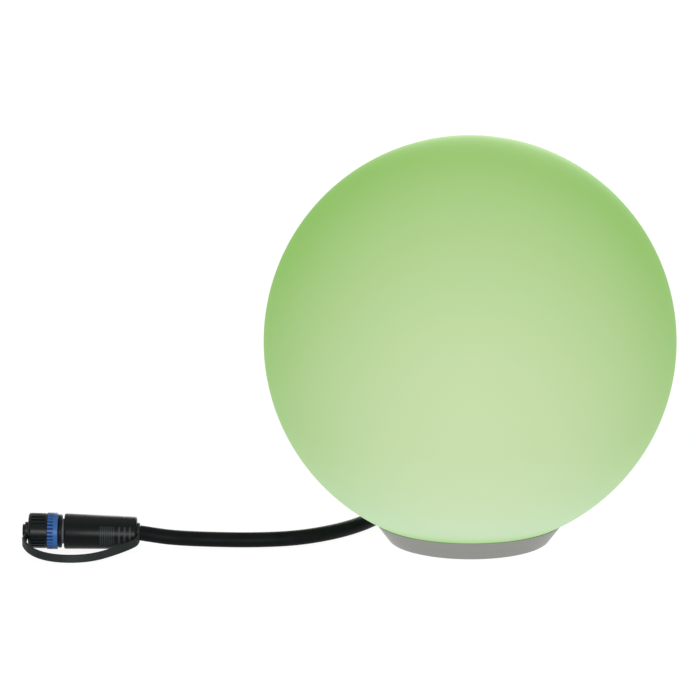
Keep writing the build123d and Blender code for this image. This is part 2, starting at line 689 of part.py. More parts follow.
with BuildPart() as radio_module:
    with BuildSketch(Plane.XY.offset(board_top)):
        with Locations(RADIO_PLACE):
            Rectangle(RADIO_CARD[0], RADIO_CARD[1])
    extrude(amount=RADIO_CARD[2])
    with BuildSketch(Plane.XY.offset(board_top + RADIO_CARD[2])):
        with Locations((RADIO_PLACE[0] + RADIO_CAN_SHIFT, RADIO_PLACE[1])):
            Rectangle(RADIO_CAN[0], RADIO_CAN[1])
    extrude(amount=RADIO_CAN[2])
keep(radio_module.part, "radio_module")

with BuildPart() as storage_capacitor:
    with BuildSketch(
        Plane(
            (CAPACITOR_PLACE[0] - CAPACITOR_L / 2, CAPACITOR_PLACE[1], board_top + CAPACITOR_D / 2),
            x_dir=(0, 1, 0),
            z_dir=(1, 0, 0),
        )
    ):
        Circle(CAPACITOR_D / 2)
    extrude(amount=CAPACITOR_L)
    fillet(storage_capacitor.edges().filter_by(GeomType.CIRCLE), CAPACITOR_ROUND)
keep(storage_capacitor.part, "storage_capacitor")

with BuildPart() as power_inductor:
    with BuildSketch(Plane.XY.offset(board_top)):
        with Locations(INDUCTOR_PLACE):
            RectangleRounded(INDUCTOR_D, INDUCTOR_D, INDUCTOR_ROUND)
    extrude(amount=INDUCTOR_H)
keep(power_inductor.part, "power_inductor")

with BuildPart() as supply_leads:
    for side in (-LEAD_PITCH / 2, LEAD_PITCH / 2):
        start = tail_plane(CORD_TAIL_END_RHO).origin + sideways * side
        corner = tail_plane(TERMINAL_RHO).origin + sideways * side
        top = Vector(corner.X, corner.Y, board_top + LEAD_INSET)
        with BuildLine() as run:
            FilletPolyline(start, corner, top, radius=LEAD_BEND)
        with BuildSketch(Plane(start, x_dir=sideways, z_dir=-tail_dir)):
            Circle(LEAD_D / 2)
        sweep(path=run.line)
keep(supply_leads.part, "supply_leads")

with BuildPart() as led_leads:
    discs(board_top, LED_LEAD_PLACES, LED_LEAD_D / 2, fin_top - board_top)
keep(led_leads.part, "led_leads")

# ================================================================ base: light engine
with BuildPart() as heat_sink_seal:
    with BuildSketch(Plane.XY.offset(spigot_top)):
        Circle(slot_floor_r - GASKET_INSET)
        Circle(cup_r + GASKET_CLEAR, mode=Mode.SUBTRACT)
    extrude(amount=GASKET_T)
keep(heat_sink_seal.part, "heat_sink_seal")

with BuildPart() as heat_sink:
    discs(sink_z, [(0, 0)], sink_flange_r, SINK_FLANGE_T)
    discs(sink_z + SINK_FLANGE_T, led_screw_places, boss_r, SINK_FIN_H)
    with BuildSketch(Plane.XY.offset(sink_z + SINK_FLANGE_T)):
        Circle(SINK_CORE_R)
        fin_root_r = SINK_CORE_R - CUT_OVER
        with PolarLocations((fin_root_r + fin_r) / 2, SINK_FIN_COUNT, 180 / SINK_FIN_COUNT):
            Rectangle(fin_r - fin_root_r, SINK_FIN_T)
    extrude(amount=SINK_FIN_H)
    discs(fin_top, [(0, 0)], SINK_BORE_R, sink_z - fin_top, Mode.SUBTRACT)
    discs(fin_top, led_screw_places, pilot_r, -SHORT_SHANK, Mode.SUBTRACT)
    discs(sink_z, sink_screw_places, screw_hole_r, SINK_FLANGE_T, Mode.SUBTRACT)
keep(heat_sink.part, "heat_sink")

screws(
    "heat_sink_screws",
    sink_screw_places,
    sink_z + SINK_FLANGE_T,
    SINK_FLANGE_T + LONG_SHANK - PILOT_GAP,
)

with BuildPart() as led_board:
    discs(fin_top, [(0, 0)], led_board_r, LED_BOARD_T)
    discs(fin_top, led_screw_places, screw_hole_r, LED_BOARD_T, Mode.SUBTRACT)
keep(led_board.part, "led_board")

screws(
    "led_board_screws",
    led_screw_places,
    led_board_top,
    LED_BOARD_T + SHORT_SHANK - PILOT_GAP,
)

with BuildPart() as led_chips:
    with BuildSketch(Plane.XY.offset(led_board_top)):
        for rho, count in LED_RINGS:
            with PolarLocations(rho, count, 180 / count):
                Rectangle(LED_CHIP, LED_CHIP)
    extrude(amount=LED_CHIP_H)
keep(led_chips.part, "led_chips")

dome_z = led_board_top + LENS_WALL
dome_r = (lens_r ** 2 + LENS_RISE ** 2) / (2 * LENS_RISE)
dome_bore_r = dome_r - LENS_WALL
dome_centre = dome_z + LENS_RISE - dome_r
ledge_r = skirt_bore_r - LENS_LEDGE
dome_mid = (lens_r / 2, dome_centre + sphere_z(dome_r, lens_r / 2))
bore_mid = (ledge_r / 2, dome_centre + sphere_z(dome_bore_r, ledge_r / 2))
bore_foot = (ledge_r, dome_centre + sphere_z(dome_bore_r, ledge_r))
with BuildPart() as led_lens:
    with BuildSketch(Plane.XZ):
        with BuildLine():
            ThreePointArc((0, dome_centre + dome_r), dome_mid, (lens_r, dome_z))
            Polyline(
                (lens_r, dome_z),
                (lens_r, fin_top - LENS_SKIRT),
                (skirt_bore_r, fin_top - LENS_SKIRT),
                (skirt_bore_r, fin_top - 3 * LENS_BEAD),
                (skirt_bore_r - LENS_BEAD, fin_top - 2 * LENS_BEAD),
                (skirt_bore_r, fin_top - LENS_BEAD),
                (skirt_bore_r, led_board_top),
                (ledge_r, led_board_top),
                bore_foot,
            )
            ThreePointArc(bore_foot, bore_mid, (0, dome_centre + dome_bore_r))
            Line((0, dome_centre + dome_bore_r), (0, dome_centre + dome_r))
        make_face()
    revolve(axis=Axis.Z)
keep(led_lens.part, "led_lens")

# ================================================================ lead
cord_exit = tail_plane(CORD_EXIT_RHO).origin
cord_points = [
    cord_exit,
    cord_exit + tail_dir * CORD_EXIT_RUN,
    *(Vector(*point) for point in CORD_ROUTE),
    plug_origin - plug_dir * PLUG_LEAD_RUN,
    plug_origin,
]
with BuildPart() as power_cord:
    with BuildLine() as cord_path:
        FilletPolyline(*cord_points, radius=cord_radii(cord_points))
    with BuildSketch(tail_plane(CORD_EXIT_RHO)):
        Circle(CORD_R)
    sweep(path=cord_path.line)
keep(power_cord.part, "power_cord")

cord_length = cord_path.wire().length
print("cord radii", [round(radius, 1) for radius in cord_radii(cord_points)])
print("cord length", round(cord_length, 1), "volume over section times length",
      round(power_cord.part.volume / (math.pi * CORD_R ** 2 * cord_length), 5))

# ================================================================ plug
with BuildPart() as plug_body:
    with BuildSketch(plug_section):
        with BuildLine():
            Polyline(
                (0, 0),
                (0, COLLAR_R),
                (COLLAR_SPAN, COLLAR_R),
                (COLLAR_SPAN, GRIP_REAR_R),
                (grip_end, GRIP_FRONT_R),
                (grip_end, neck_bore_r),
                (grip_end - NECK_DEPTH, neck_bore_r),
                (grip_end - NECK_DEPTH, 0),
                close=True,
            )
        make_face()
    revolve(axis=plug_axis)
    grip_edges = plug_body.edges().filter_by(GeomType.CIRCLE).sort_by(SortBy.RADIUS)[-2:]
    fillet(grip_edges, GRIP_ROUND)
    for side in (-90, 90):
        for rib in range(RIB_COUNT):
            along = COLLAR_SPAN + RIB_START + rib * RIB_PITCH
            skin = GRIP_REAR_R + (GRIP_FRONT_R - GRIP_REAR_R) * (along - COLLAR_SPAN) / GRIP_L
            groove = (along, along + RIB_GROOVE, skin - RIB_DEPTH, skin + CUT_OVER)
            turned(plug_side(side - RIB_ARC / 2), plug_axis, groove, RIB_ARC, Mode.SUBTRACT)
keep(plug_body.part, "plug_body")

with BuildPart() as neck_seal:
    with BuildSketch(plug_plane(grip_end)):
        Circle(NECK_SEAL_R)
        Circle(neck_bore_r, mode=Mode.SUBTRACT)
    extrude(amount=NECK_L)
keep(neck_seal.part, "neck_seal")

with BuildPart() as plug_barrel:
    with BuildSketch(plug_section):
        outline(
            (grip_end - NECK_DEPTH, 0),
            (grip_end - NECK_DEPTH, NECK_R),
            (flange_start, NECK_R),
            (flange_start, FLANGE_R),
            (barrel_start, FLANGE_R),
            (barrel_start, BARREL_R),
            (barrel_end, BARREL_R),
            (barrel_end, BARREL_BORE_R),
            (bore_start, BARREL_BORE_R),
            (bore_start, 0),
        )
    revolve(axis=plug_axis)
    flange_edges = plug_barrel.edges().filter_by(GeomType.CIRCLE).sort_by(SortBy.RADIUS)[-2:]
    fillet(flange_edges, FLANGE_ROUND)
    seal_groove = (seal_start, seal_start + BARREL_SEAL_L, barrel_seal_r, BARREL_R + CUT_OVER)
    turned(plug_section, plug_axis, seal_groove, mode=Mode.SUBTRACT)
    for start in PLUG_LUG_STARTS:
        channel_start = plug_side(start - LUG_SIDE_PLAY)
        channel = (lock_lug_start - END_GAP, lock_lug_end + END_GAP, plug_slot_r, BARREL_R + CUT_OVER)
        lug_room = LOCK_LUG_ANGLE + 2 * LUG_SIDE_PLAY
        turned(channel_start, plug_axis, channel, lug_room + LOCK_TURN_DEG, Mode.SUBTRACT)
        channel = (cap_lug_start - END_GAP, cap_lug_end + END_GAP, plug_slot_r, BARREL_R + CUT_OVER)
        lug_room = CAP_LUG_ANGLE + 2 * LUG_SIDE_PLAY
        turned(channel_start, plug_axis, channel, lug_room + CAP_TURN_DEG, Mode.SUBTRACT)
        entry = (cap_lug_start, barrel_end + CUT_OVER, plug_slot_r, BARREL_R + CUT_OVER)
        entry_start = plug_side(start - LUG_SIDE_PLAY + CAP_TURN_DEG)
        turned(entry_start, plug_axis, entry, lug_room, Mode.SUBTRACT)
keep(plug_barrel.part, "plug_barrel")

with BuildPart() as contact_carrier:
    with BuildSketch(plug_plane(bore_start)):
        Circle(BARREL_BORE_R - PILOT_GAP)
        Circle(PIN_R + PILOT_GAP, mode=Mode.SUBTRACT)
        with PolarLocations(PIN_CIRCLE, PIN_COUNT):
            Circle(PIN_R + PILOT_GAP, mode=Mode.SUBTRACT)
    extrude(amount=CARRIER_L)
keep(contact_carrier.part, "contact_carrier")

with BuildPart() as contact_pins:
    with BuildSketch(plug_plane(bore_start)):
        Circle(PIN_R)
        with PolarLocations(PIN_CIRCLE, PIN_COUNT):
            Circle(PIN_R)
    extrude(amount=PIN_L)
    tips = contact_pins.faces().sort_by(plug_axis)[-PIN_COUNT - 1:].edges()
    fillet(tips, PIN_ROUND)
keep(contact_pins.part, "contact_pins")

with BuildPart() as barrel_seal:
    turned(plug_section, plug_axis, (seal_start, seal_start + BARREL_SEAL_L, barrel_seal_r, BARREL_R))
keep(barrel_seal.part, "barrel_seal")

with BuildPart() as lock_ring:
    with BuildSketch(plug_plane(lock_start)):
        Circle(LOCK_R)
        Circle(turning_bore_r, mode=Mode.SUBTRACT)
    extrude(amount=LOCK_L)
    rims = lock_ring.edges().filter_by(GeomType.CIRCLE).sort_by(SortBy.RADIUS)[-2:]
    fillet(rims, LOCK_ROUND)
    with BuildSketch(plug_plane(lock_end - LOCK_TOOTH_L)):
        with PolarLocations(LOCK_R, LOCK_TEETH):
            Rectangle(2 * LOCK_TOOTH_DEPTH, tooth_gap)
    extrude(amount=LOCK_TOOTH_L + CUT_OVER, mode=Mode.SUBTRACT)
    for start in PLUG_LUG_STARTS:
        lug = (lock_lug_start, lock_lug_end, plug_lug_r, turning_bore_r + LUG_ROOT)
        turned(plug_side(start), plug_axis, lug, LOCK_LUG_ANGLE)
keep(lock_ring.part, "lock_ring")

with BuildPart() as dust_cap:
    with BuildSketch(plug_section):
        outline(
            (cap_start, turning_bore_r),
            (cap_start, CAP_R),
            (cap_end, CAP_R),
            (cap_end, KNOB_STEM_R),
            (head_start, KNOB_STEM_R),
            (head_start, KNOB_HEAD_R),
            (head_end, KNOB_HEAD_R),
            (head_end, 0),
            (cap_floor, 0),
            (cap_floor, turning_bore_r),
        )
    revolve(axis=plug_axis)
    cap_circles = dust_cap.edges().filter_by(GeomType.CIRCLE)
    cap_rims = cap_circles.sort_by(SortBy.RADIUS)[-2:].sort_by(plug_axis)
    fillet(cap_rims[-1:], CAP_ROUND)
    knob_rim = dust_cap.edges().filter_by(GeomType.CIRCLE).sort_by(plug_axis)[-1:]
    fillet(knob_rim, KNOB_ROUND)
    with BuildSketch(plug_plane(cap_start + CAP_PLAIN)):
        with PolarLocations(CAP_R, CAP_RIBS):
            Rectangle(2 * CAP_RIB_DEPTH, cap_groove)
    extrude(amount=CAP_L - CAP_PLAIN - CAP_ROUND, mode=Mode.SUBTRACT)
    for start in PLUG_LUG_STARTS:
        lug = (cap_lug_start, cap_lug_end, plug_lug_r, turning_bore_r + LUG_ROOT)
        turned(plug_side(start), plug_axis, lug, CAP_LUG_ANGLE)
keep(dust_cap.part, "dust_cap")

strap_points = [Vector(*point) for point in STRAP_ROUTE]
with BuildPart() as cap_strap:
    with BuildLine() as strap_path:
        FilletPolyline(*strap_points, radius=cord_radii(strap_points))
    strap_line = strap_path.wire()
    for station in range(STRAP_STATIONS):
        share = station / (STRAP_STATIONS - 1)
        heading = strap_line.tangent_at(share)
        level = Vector(heading.X, heading.Y, 0)
        across = Vector(heading.Y, -heading.X, 0)
        with BuildSketch(Plane(strap_line.position_at(share), x_dir=across, z_dir=level)):
            Rectangle(STRAP_T, STRAP_W)
    loft()
    with BuildSketch(plug_plane(eye_start)):
        Circle(STRAP_EYE_R)
    extrude(amount=STRAP_EYE_T)
    with BuildSketch(plug_plane(END_GAP / 2)):
        Circle(STRAP_REAR_EYE_R)
    extrude(amount=COLLAR_SPAN - END_GAP)
    with BuildSketch(plug_plane(eye_start - CUT_OVER)):
        Circle(KNOB_STEM_R + STRAP_EYE_GAP)
    extrude(amount=STRAP_EYE_T + 2 * CUT_OVER, mode=Mode.SUBTRACT)
    with BuildSketch(plug_plane(-CUT_OVER)):
        Circle(COLLAR_R + PILOT_GAP)
    extrude(amount=COLLAR_SPAN + CUT_OVER, mode=Mode.SUBTRACT)
keep(cap_strap.part, "cap_strap")

print("strap radii", [round(radius, 1) for radius in cord_radii(strap_points)])
print("strap length", round(strap_line.length, 1))
print("globe centre", round(globe_centre, 2), "ring top", round(ring_top_r, 2), round(ring_top_z, 2))
print("spigot", round(spigot_r, 2), round(spigot_top, 2), "board", round(board_r, 2), round(board_z, 2))
print("lens top", round(dome_z + LENS_RISE, 2))
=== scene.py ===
"""Looks of the garden globe light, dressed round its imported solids.

Everything is in metres in the solids' own frame: +Z up, +X right and +Y away from the camera.
"""

import logging
import math
from collections.abc import Callable, Iterable, Sequence
from dataclasses import dataclass, field
from enum import Enum
from functools import cache

import bmesh
import bpy
from mathutils import Matrix, Vector


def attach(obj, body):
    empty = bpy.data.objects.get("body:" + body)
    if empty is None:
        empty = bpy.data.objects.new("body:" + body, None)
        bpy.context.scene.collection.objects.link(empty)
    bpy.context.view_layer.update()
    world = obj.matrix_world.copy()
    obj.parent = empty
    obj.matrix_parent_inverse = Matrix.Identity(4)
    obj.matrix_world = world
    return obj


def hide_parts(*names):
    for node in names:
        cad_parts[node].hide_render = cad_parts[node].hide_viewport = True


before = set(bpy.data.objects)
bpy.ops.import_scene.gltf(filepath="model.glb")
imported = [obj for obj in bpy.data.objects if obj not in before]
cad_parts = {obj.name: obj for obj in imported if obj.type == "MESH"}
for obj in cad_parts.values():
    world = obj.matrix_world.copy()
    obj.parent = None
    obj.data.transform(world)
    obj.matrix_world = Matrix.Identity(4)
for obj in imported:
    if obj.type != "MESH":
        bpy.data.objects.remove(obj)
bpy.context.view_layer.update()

log = logging.getLogger("globe_light")
MM = 0.001
SAME_PLACE = 1e-7            # corners nearer than this many metres are one
SLIVER_AREA = 1e-14          # faces of less than this many square metres are dropped
CURVE_STEPS = 12             # steps between two points of a spline
FACES_A_TOOTH = 4            # faces round a tooth and its gap
GRAIN_DEPTH = 0.1 * MM       # height of the fine relief
CLOUD_SHARE = 0.06           # scale of the mottling against that of the fine relief
Point = tuple[float, float, float]
Colour = tuple[float, float, float]


class Grain(Enum):
    """Kinds of fine surface relief, each a noise scale per metre and its stretch along X, Y, Z."""

    MOULDED = (2600.0, (1.0, 1.0, 1.0))
    SATIN = (900.0, (1.0, 1.0, 1.0))
    TURNED = (90.0, (0.15, 0.15, 60.0))
    CAST = (1400.0, (1.0, 1.0, 1.0))
    SOFT = (3400.0, (1.0, 1.0, 1.0))

    @property
    def scale(self) -> float:
        """Noise scale per metre."""
        return self.value[0]

    @property
    def stretch(self) -> Point:
        """How the relief is stretched along X, Y and Z."""
        return self.value[1]


class Lay(Enum):
    """Which way a ring of faces is pushed: into the piece or out of it."""

    IN = -1.0
    OUT = 1.0


# ------------------------------------------------------------------ finishes
@dataclass(frozen=True)
class Finish:
    """One surface finish, built as a node material on Object coordinates."""

    name: str
    colour: Colour
    roughness: float
    grain: Grain = Grain.MOULDED
    metallic: float = 0.0
    specular: float = 0.5
    relief: float = 0.12
    mottle: float = 0.10
    gloss_swing: float = 0.08
    coat: float = 0.0
    cloud_edges: tuple[float, float] = (0.3, 0.7)

    @cache
    def material(self) -> bpy.types.Material:
        """Give this finish's material, made once and shared.

        Returns:
            The material, with colour mottling, uneven gloss and a fine grain.
        """
        made = bpy.data.materials.new(self.name)
        made.use_nodes = True
        nodes, links = made.node_tree.nodes, made.node_tree.links
        shader = nodes["Principled BSDF"]
        shader.inputs["Metallic"].default_value = self.metallic
        shader.inputs["Specular IOR Level"].default_value = self.specular
        shader.inputs["Coat Weight"].default_value = self.coat
        place = nodes.new("ShaderNodeTexCoord")
        stretch = nodes.new("ShaderNodeMapping")
        stretch.inputs["Scale"].default_value = self.grain.stretch
        links.new(place.outputs["Object"], stretch.inputs["Vector"])
        cloudy = noise(nodes, self.grain.scale * CLOUD_SHARE, 4.0)
        links.new(stretch.outputs["Vector"], cloudy.inputs["Vector"])
        fine = noise(nodes, self.grain.scale, 2.0)
        links.new(stretch.outputs["Vector"], fine.inputs["Vector"])
        tint = nodes.new("ShaderNodeValToRGB")
        shades = (1 - self.mottle, 1 + self.mottle)
        for end, position, shade in zip(tint.color_ramp.elements, self.cloud_edges, shades):
            end.position = position
            end.color = (*(channel * shade for channel in self.colour), 1.0)
        links.new(cloudy.outputs["Fac"], tint.inputs["Fac"])
        links.new(tint.outputs["Color"], shader.inputs["Base Color"])
        vary_gloss(nodes, links, cloudy, self.roughness, self.gloss_swing)
        raise_grain(nodes, links, fine, self.relief)
        return made


@dataclass(frozen=True)
class LitDiffuser:
    """Opal diffuser lit green from below: its glow is palest near the light and greener above."""

    name: str = "lit_diffuser"
    body: Colour = (0.41, 0.29, 0.36)
    roughness: float = 0.62
    glow: tuple[tuple[float, Colour], ...] = (
        (0.00, (0.200, 0.500, 0.080)),
        (0.02, (0.290, 0.560, 0.190)),
        (0.04, (0.385, 0.610, 0.340)),
        (0.11, (0.345, 0.578, 0.265)),
        (0.21, (0.285, 0.528, 0.175)),
        (0.30, (0.243, 0.495, 0.125)),
        (0.45, (0.203, 0.465, 0.080)),
        (0.60, (0.168, 0.445, 0.045)),
        (0.75, (0.140, 0.432, 0.012)),
        (0.90, (0.130, 0.428, 0.005)),
        (1.00, (0.150, 0.440, 0.010)),
    )
    low: float = 0.010
    high: float = 0.199
    specular: float = 0.12
    cloud_scale: float = 24.0
    drift: float = 0.016
    grain_scale: float = 1500.0
    gloss_swing: float = 0.06
    relief: float = 0.06

    @cache
    def material(self) -> bpy.types.Material:
        """Give the diffuser's material, made once and shared.

        Returns:
            A satin material whose glow is graded by height.
        """
        made = bpy.data.materials.new(self.name)
        made.use_nodes = True
        nodes, links = made.node_tree.nodes, made.node_tree.links
        shader = nodes["Principled BSDF"]
        shader.inputs["Base Color"].default_value = (*self.body, 1.0)
        shader.inputs["Specular IOR Level"].default_value = self.specular
        shader.inputs["Emission Strength"].default_value = 1.0
        place = nodes.new("ShaderNodeTexCoord")
        split = nodes.new("ShaderNodeSeparateXYZ")
        links.new(place.outputs["Object"], split.inputs["Vector"])
        height = nodes.new("ShaderNodeMapRange")
        height.inputs["From Min"].default_value = self.low
        height.inputs["From Max"].default_value = self.high
        links.new(split.outputs["Z"], height.inputs["Value"])
        cloudy = noise(nodes, self.cloud_scale, 3.0)
        links.new(place.outputs["Object"], cloudy.inputs["Vector"])
        drift = nodes.new("ShaderNodeMath")
        drift.operation = "MULTIPLY_ADD"
        drift.inputs[1].default_value = self.drift
        links.new(cloudy.outputs["Fac"], drift.inputs[0])
        links.new(height.outputs["Result"], drift.inputs[2])
        glow = nodes.new("ShaderNodeValToRGB")
        glow.color_ramp.interpolation = "B_SPLINE"
        ends = glow.color_ramp.elements
        ends[0].position, ends[0].color = self.glow[0][0], (*self.glow[0][1], 1.0)
        ends[1].position, ends[1].color = self.glow[-1][0], (*self.glow[-1][1], 1.0)
        for position, colour in self.glow[1:-1]:
            ends.new(position).color = (*colour, 1.0)
        links.new(drift.outputs["Value"], glow.inputs["Fac"])
        links.new(glow.outputs["Color"], shader.inputs["Emission Color"])
        fine = noise(nodes, self.grain_scale, 2.0)
        links.new(place.outputs["Object"], fine.inputs["Vector"])
        vary_gloss(nodes, links, fine, self.roughness, self.gloss_swing)
        raise_grain(nodes, links, fine, self.relief)
        return made


RING_METAL = Finish("satin_ring", (0.29, 0.29, 0.275), 0.42, Grain.TURNED, 0.85, mottle=0.04, relief=0.05)
STEEL = Finish("plain_steel", (0.55, 0.55, 0.54), 0.34, Grain.CAST, 1.0)
WHITE_PLASTIC = Finish("matt_white", (0.80, 0.81, 0.79), 0.48, mottle=0.02)
GREY_PLASTIC = Finish("matt_grey", (0.22, 0.23, 0.23), 0.52, mottle=0.05)
FOOT_RUBBER = Finish("soft_foot", (0.035, 0.035, 0.036), 0.80, Grain.SOFT, specular=0.3, relief=0.3)
SEAL_RUBBER = Finish("soft_seal", (0.045, 0.045, 0.048), 0.66, Grain.SOFT, specular=0.35)
SEAL_GREY = Finish("neck_seal_grey", (0.110, 0.115, 0.120), 0.58, Grain.SOFT, specular=0.2)
CORD_RUBBER = Finish(
    "matt_cord", (0.0060, 0.0075, 0.0078), 0.50, Grain.SOFT, specular=0.05, relief=0.25, mottle=0.2
)
STRAP_RUBBER = Finish(
    "soft_strap", (0.022, 0.027, 0.029), 0.42, Grain.SOFT, specular=0.12, relief=0.22, mottle=0.15
)
# Lighter black for the grip's rib tops: a painted highlight where the ribs catch light.
RIB_HIGHLIGHT_BLACK = Finish("painted_highlight_rib", (0.034, 0.043, 0.042), 0.44, specular=0.12, mottle=0.1)
GRIP_BLACK = Finish(
    "grip_black", (0.0050, 0.0072, 0.0070), 0.34, Grain.SOFT, specular=0.09, relief=0.25, mottle=0.15
)
BARREL_BLACK = Finish("moulded_barrel", (0.006, 0.007, 0.008), 0.40, specular=0.08, mottle=0.1)
CAP_BLACK = Finish("moulded_cap", (0.0045, 0.0068, 0.0068), 0.30, specular=0.13, mottle=0.15, relief=0.15)
# Darker blue for the lock ring's groove floors: painted shade in the recesses between the teeth.
GROOVE_SHADE_BLUE = Finish("ring_groove_painted_shade", (0.012, 0.045, 0.170), 0.45, specular=0.08, mottle=0.08)
LOCK_BLUE = Finish("moulded_ring", (0.050, 0.150, 0.430), 0.32, specular=0.16, mottle=0.08, relief=0.1)
PIN_BRASS = Finish("turned_brass", (0.70, 0.54, 0.25), 0.28, Grain.CAST, 1.0)
BOARD_GREEN = Finish("green_laminate", (0.020, 0.150, 0.060), 0.30, Grain.SATIN, coat=0.4)
TERMINAL_GREEN = Finish("moulded_terminal", (0.050, 0.300, 0.110), 0.35)
SHIELD_TIN = Finish("tinned_shield", (0.62, 0.63, 0.63), 0.30, Grain.CAST, 1.0)
SLEEVE = Finish("shrunk_sleeve", (0.030, 0.030, 0.085), 0.25, coat=0.3)
FERRITE = Finish("pressed_ferrite", (0.045, 0.045, 0.048), 0.62, Grain.CAST, relief=0.3)
INSULATION = Finish("red_insulation", (0.40, 0.045, 0.035), 0.42)
SINK_CAST = Finish("cast_sink", (0.68, 0.68, 0.69), 0.45, Grain.CAST, 1.0, relief=0.25)
BOARD_WHITE = Finish("white_laminate", (0.82, 0.83, 0.82), 0.35, Grain.SATIN, coat=0.3, mottle=0.02)
PHOSPHOR = Finish("phosphor_cap", (0.74, 0.80, 0.46), 0.30, mottle=0.05)
LENS_FROST = Finish("lens_frost", (0.84, 0.86, 0.84), 0.55, Grain.SATIN, mottle=0.02)
DIFFUSER = LitDiffuser()

NODE_FINISH: dict[str, Finish | LitDiffuser] = {
    "globe_shell": DIFFUSER,
    "globe_collar": WHITE_PLASTIC,
    "collar_screws": STEEL,
    "base_ring": RING_METAL,
    "base_pan": GREY_PLASTIC,
    "ring_screws": STEEL,
    "rubber_feet": FOOT_RUBBER,
    "spigot_seal": SEAL_RUBBER,
    "cord_bush": SEAL_RUBBER,
    "cord_tail": CORD_RUBBER,
    "cord_clamp": WHITE_PLASTIC,
    "clamp_screws": STEEL,
    "driver_board": BOARD_GREEN,
    "board_screws": STEEL,
    "terminal_block": TERMINAL_GREEN,
    "radio_module": SHIELD_TIN,
    "storage_capacitor": SLEEVE,
    "power_inductor": FERRITE,
    "supply_leads": INSULATION,
    "led_leads": INSULATION,
    "heat_sink": SINK_CAST,
    "heat_sink_seal": SEAL_RUBBER,
    "heat_sink_screws": STEEL,
    "led_board": BOARD_WHITE,
    "led_board_screws": STEEL,
    "led_chips": PHOSPHOR,
    "led_lens": LENS_FROST,
    "power_cord": CORD_RUBBER,
    "plug_body": GRIP_BLACK,
    "neck_seal": SEAL_GREY,
    "plug_barrel": BARREL_BLACK,
    "contact_carrier": BARREL_BLACK,
    "contact_pins": PIN_BRASS,
    "barrel_seal": SEAL_RUBBER,
    "cap_strap": STRAP_RUBBER,
    "lock_ring": LOCK_BLUE,
    "dust_cap": CAP_BLACK,
}


# ------------------------------------------------------------------ shared makers
def noise(nodes: bpy.types.Nodes, scale: float, detail: float) -> bpy.types.Node:
    """Add a noise texture to a material.

    Args:
        nodes: The material's nodes.
        scale: Noise scale per metre.
        detail: Number of octaves.

    Returns:
        The noise node.
    """
    node = nodes.new("ShaderNodeTexNoise")
    node.inputs["Scale"].default_value = scale
    node.inputs["Detail"].default_value = detail
    return node


def vary_gloss(
    nodes: bpy.types.Nodes, links: bpy.types.NodeLinks, pattern: bpy.types.Node, middle: float, swing: float
) -> None:
    """Let a material's roughness swing with a pattern.

    Args:
        nodes: The material's nodes.
        links: Their links.
        pattern: The noise that it follows.
        middle: The roughness about which it swings.
        swing: How far it swings each way.
    """
    gloss = nodes.new("ShaderNodeMapRange")
    gloss.inputs["To Min"].default_value = middle - swing
    gloss.inputs["To Max"].default_value = middle + swing
    links.new(pattern.outputs["Fac"], gloss.inputs["Value"])
    links.new(gloss.outputs["Result"], nodes["Principled BSDF"].inputs["Roughness"])


def raise_grain(
    nodes: bpy.types.Nodes, links: bpy.types.NodeLinks, pattern: bpy.types.Node, strength: float
) -> None:
    """Give a material a fine relief.

    Args:
        nodes: The material's nodes.
        links: Their links.
        pattern: The noise that shapes the relief.
        strength: How strongly it shows.
    """
    bump = nodes.new("ShaderNodeBump")
    bump.inputs["Strength"].default_value = strength
    bump.inputs["Distance"].default_value = GRAIN_DEPTH
    links.new(pattern.outputs["Fac"], bump.inputs["Height"])
    links.new(bump.outputs["Normal"], nodes["Principled BSDF"].inputs["Normal"])


def piece(
    bm: bmesh.types.BMesh, name: str, finish: Finish | LitDiffuser, crease: float = 35.0
) -> bpy.types.Object:
    """Turn a finished bmesh into an object at the origin.

    Args:
        bm: The mesh, already in its place. It is freed.
        name: The object's name.
        finish: The finish it wears.
        crease: Edges that bend by more than these degrees stay sharp.

    Returns:
        The new object.
    """
    bmesh.ops.remove_doubles(bm, verts=bm.verts, dist=SAME_PLACE)
    stray = [edge for edge in bm.edges if not edge.link_faces]
    bmesh.ops.delete(bm, geom=stray, context="EDGES")
    bmesh.ops.recalc_face_normals(bm, faces=bm.faces)
    for face in bm.faces:
        face.smooth = True
    for edge in bm.edges:
        edge.smooth = len(edge.link_faces) == 2 and edge.calc_face_angle() < math.radians(crease)
    mesh = bpy.data.meshes.new(name)
    bm.to_mesh(mesh)
    bm.free()
    made = bpy.data.objects.new(name, mesh)
    bpy.context.scene.collection.objects.link(made)
    made.data.materials.append(finish.material())
    return made


def lathe(profile: Sequence[tuple[float, float]], steps: int, closed: bool = True) -> bmesh.types.BMesh:
    """Spin a profile about the X axis.

    Args:
        profile: Points as distance along X and radius, in metres.
        steps: Faces round the axis.
        closed: Whether the last point joins the first.

    Returns:
        The turned mesh.
    """
    bm = bmesh.new()
    corners = [bm.verts.new((along, 0.0, radius)) for along, radius in profile]
    following = corners[1:] + corners[:1] if closed else corners[1:]
    edges = [bm.edges.new(pair) for pair in zip(corners, following)]
    bmesh.ops.spin(
        bm,
        geom=corners + edges,
        cent=(0.0, 0.0, 0.0),
        axis=(1.0, 0.0, 0.0),
        angle=math.tau,
        steps=steps,
        use_merge=True,
        use_duplicate=False,
    )
    bmesh.ops.remove_doubles(bm, verts=bm.verts, dist=SAME_PLACE)
    flat = [face for face in bm.faces if face.calc_area() < SLIVER_AREA]
    bmesh.ops.delete(bm, geom=flat, context="FACES")
    bmesh.ops.recalc_face_normals(bm, faces=bm.faces)
    return bm


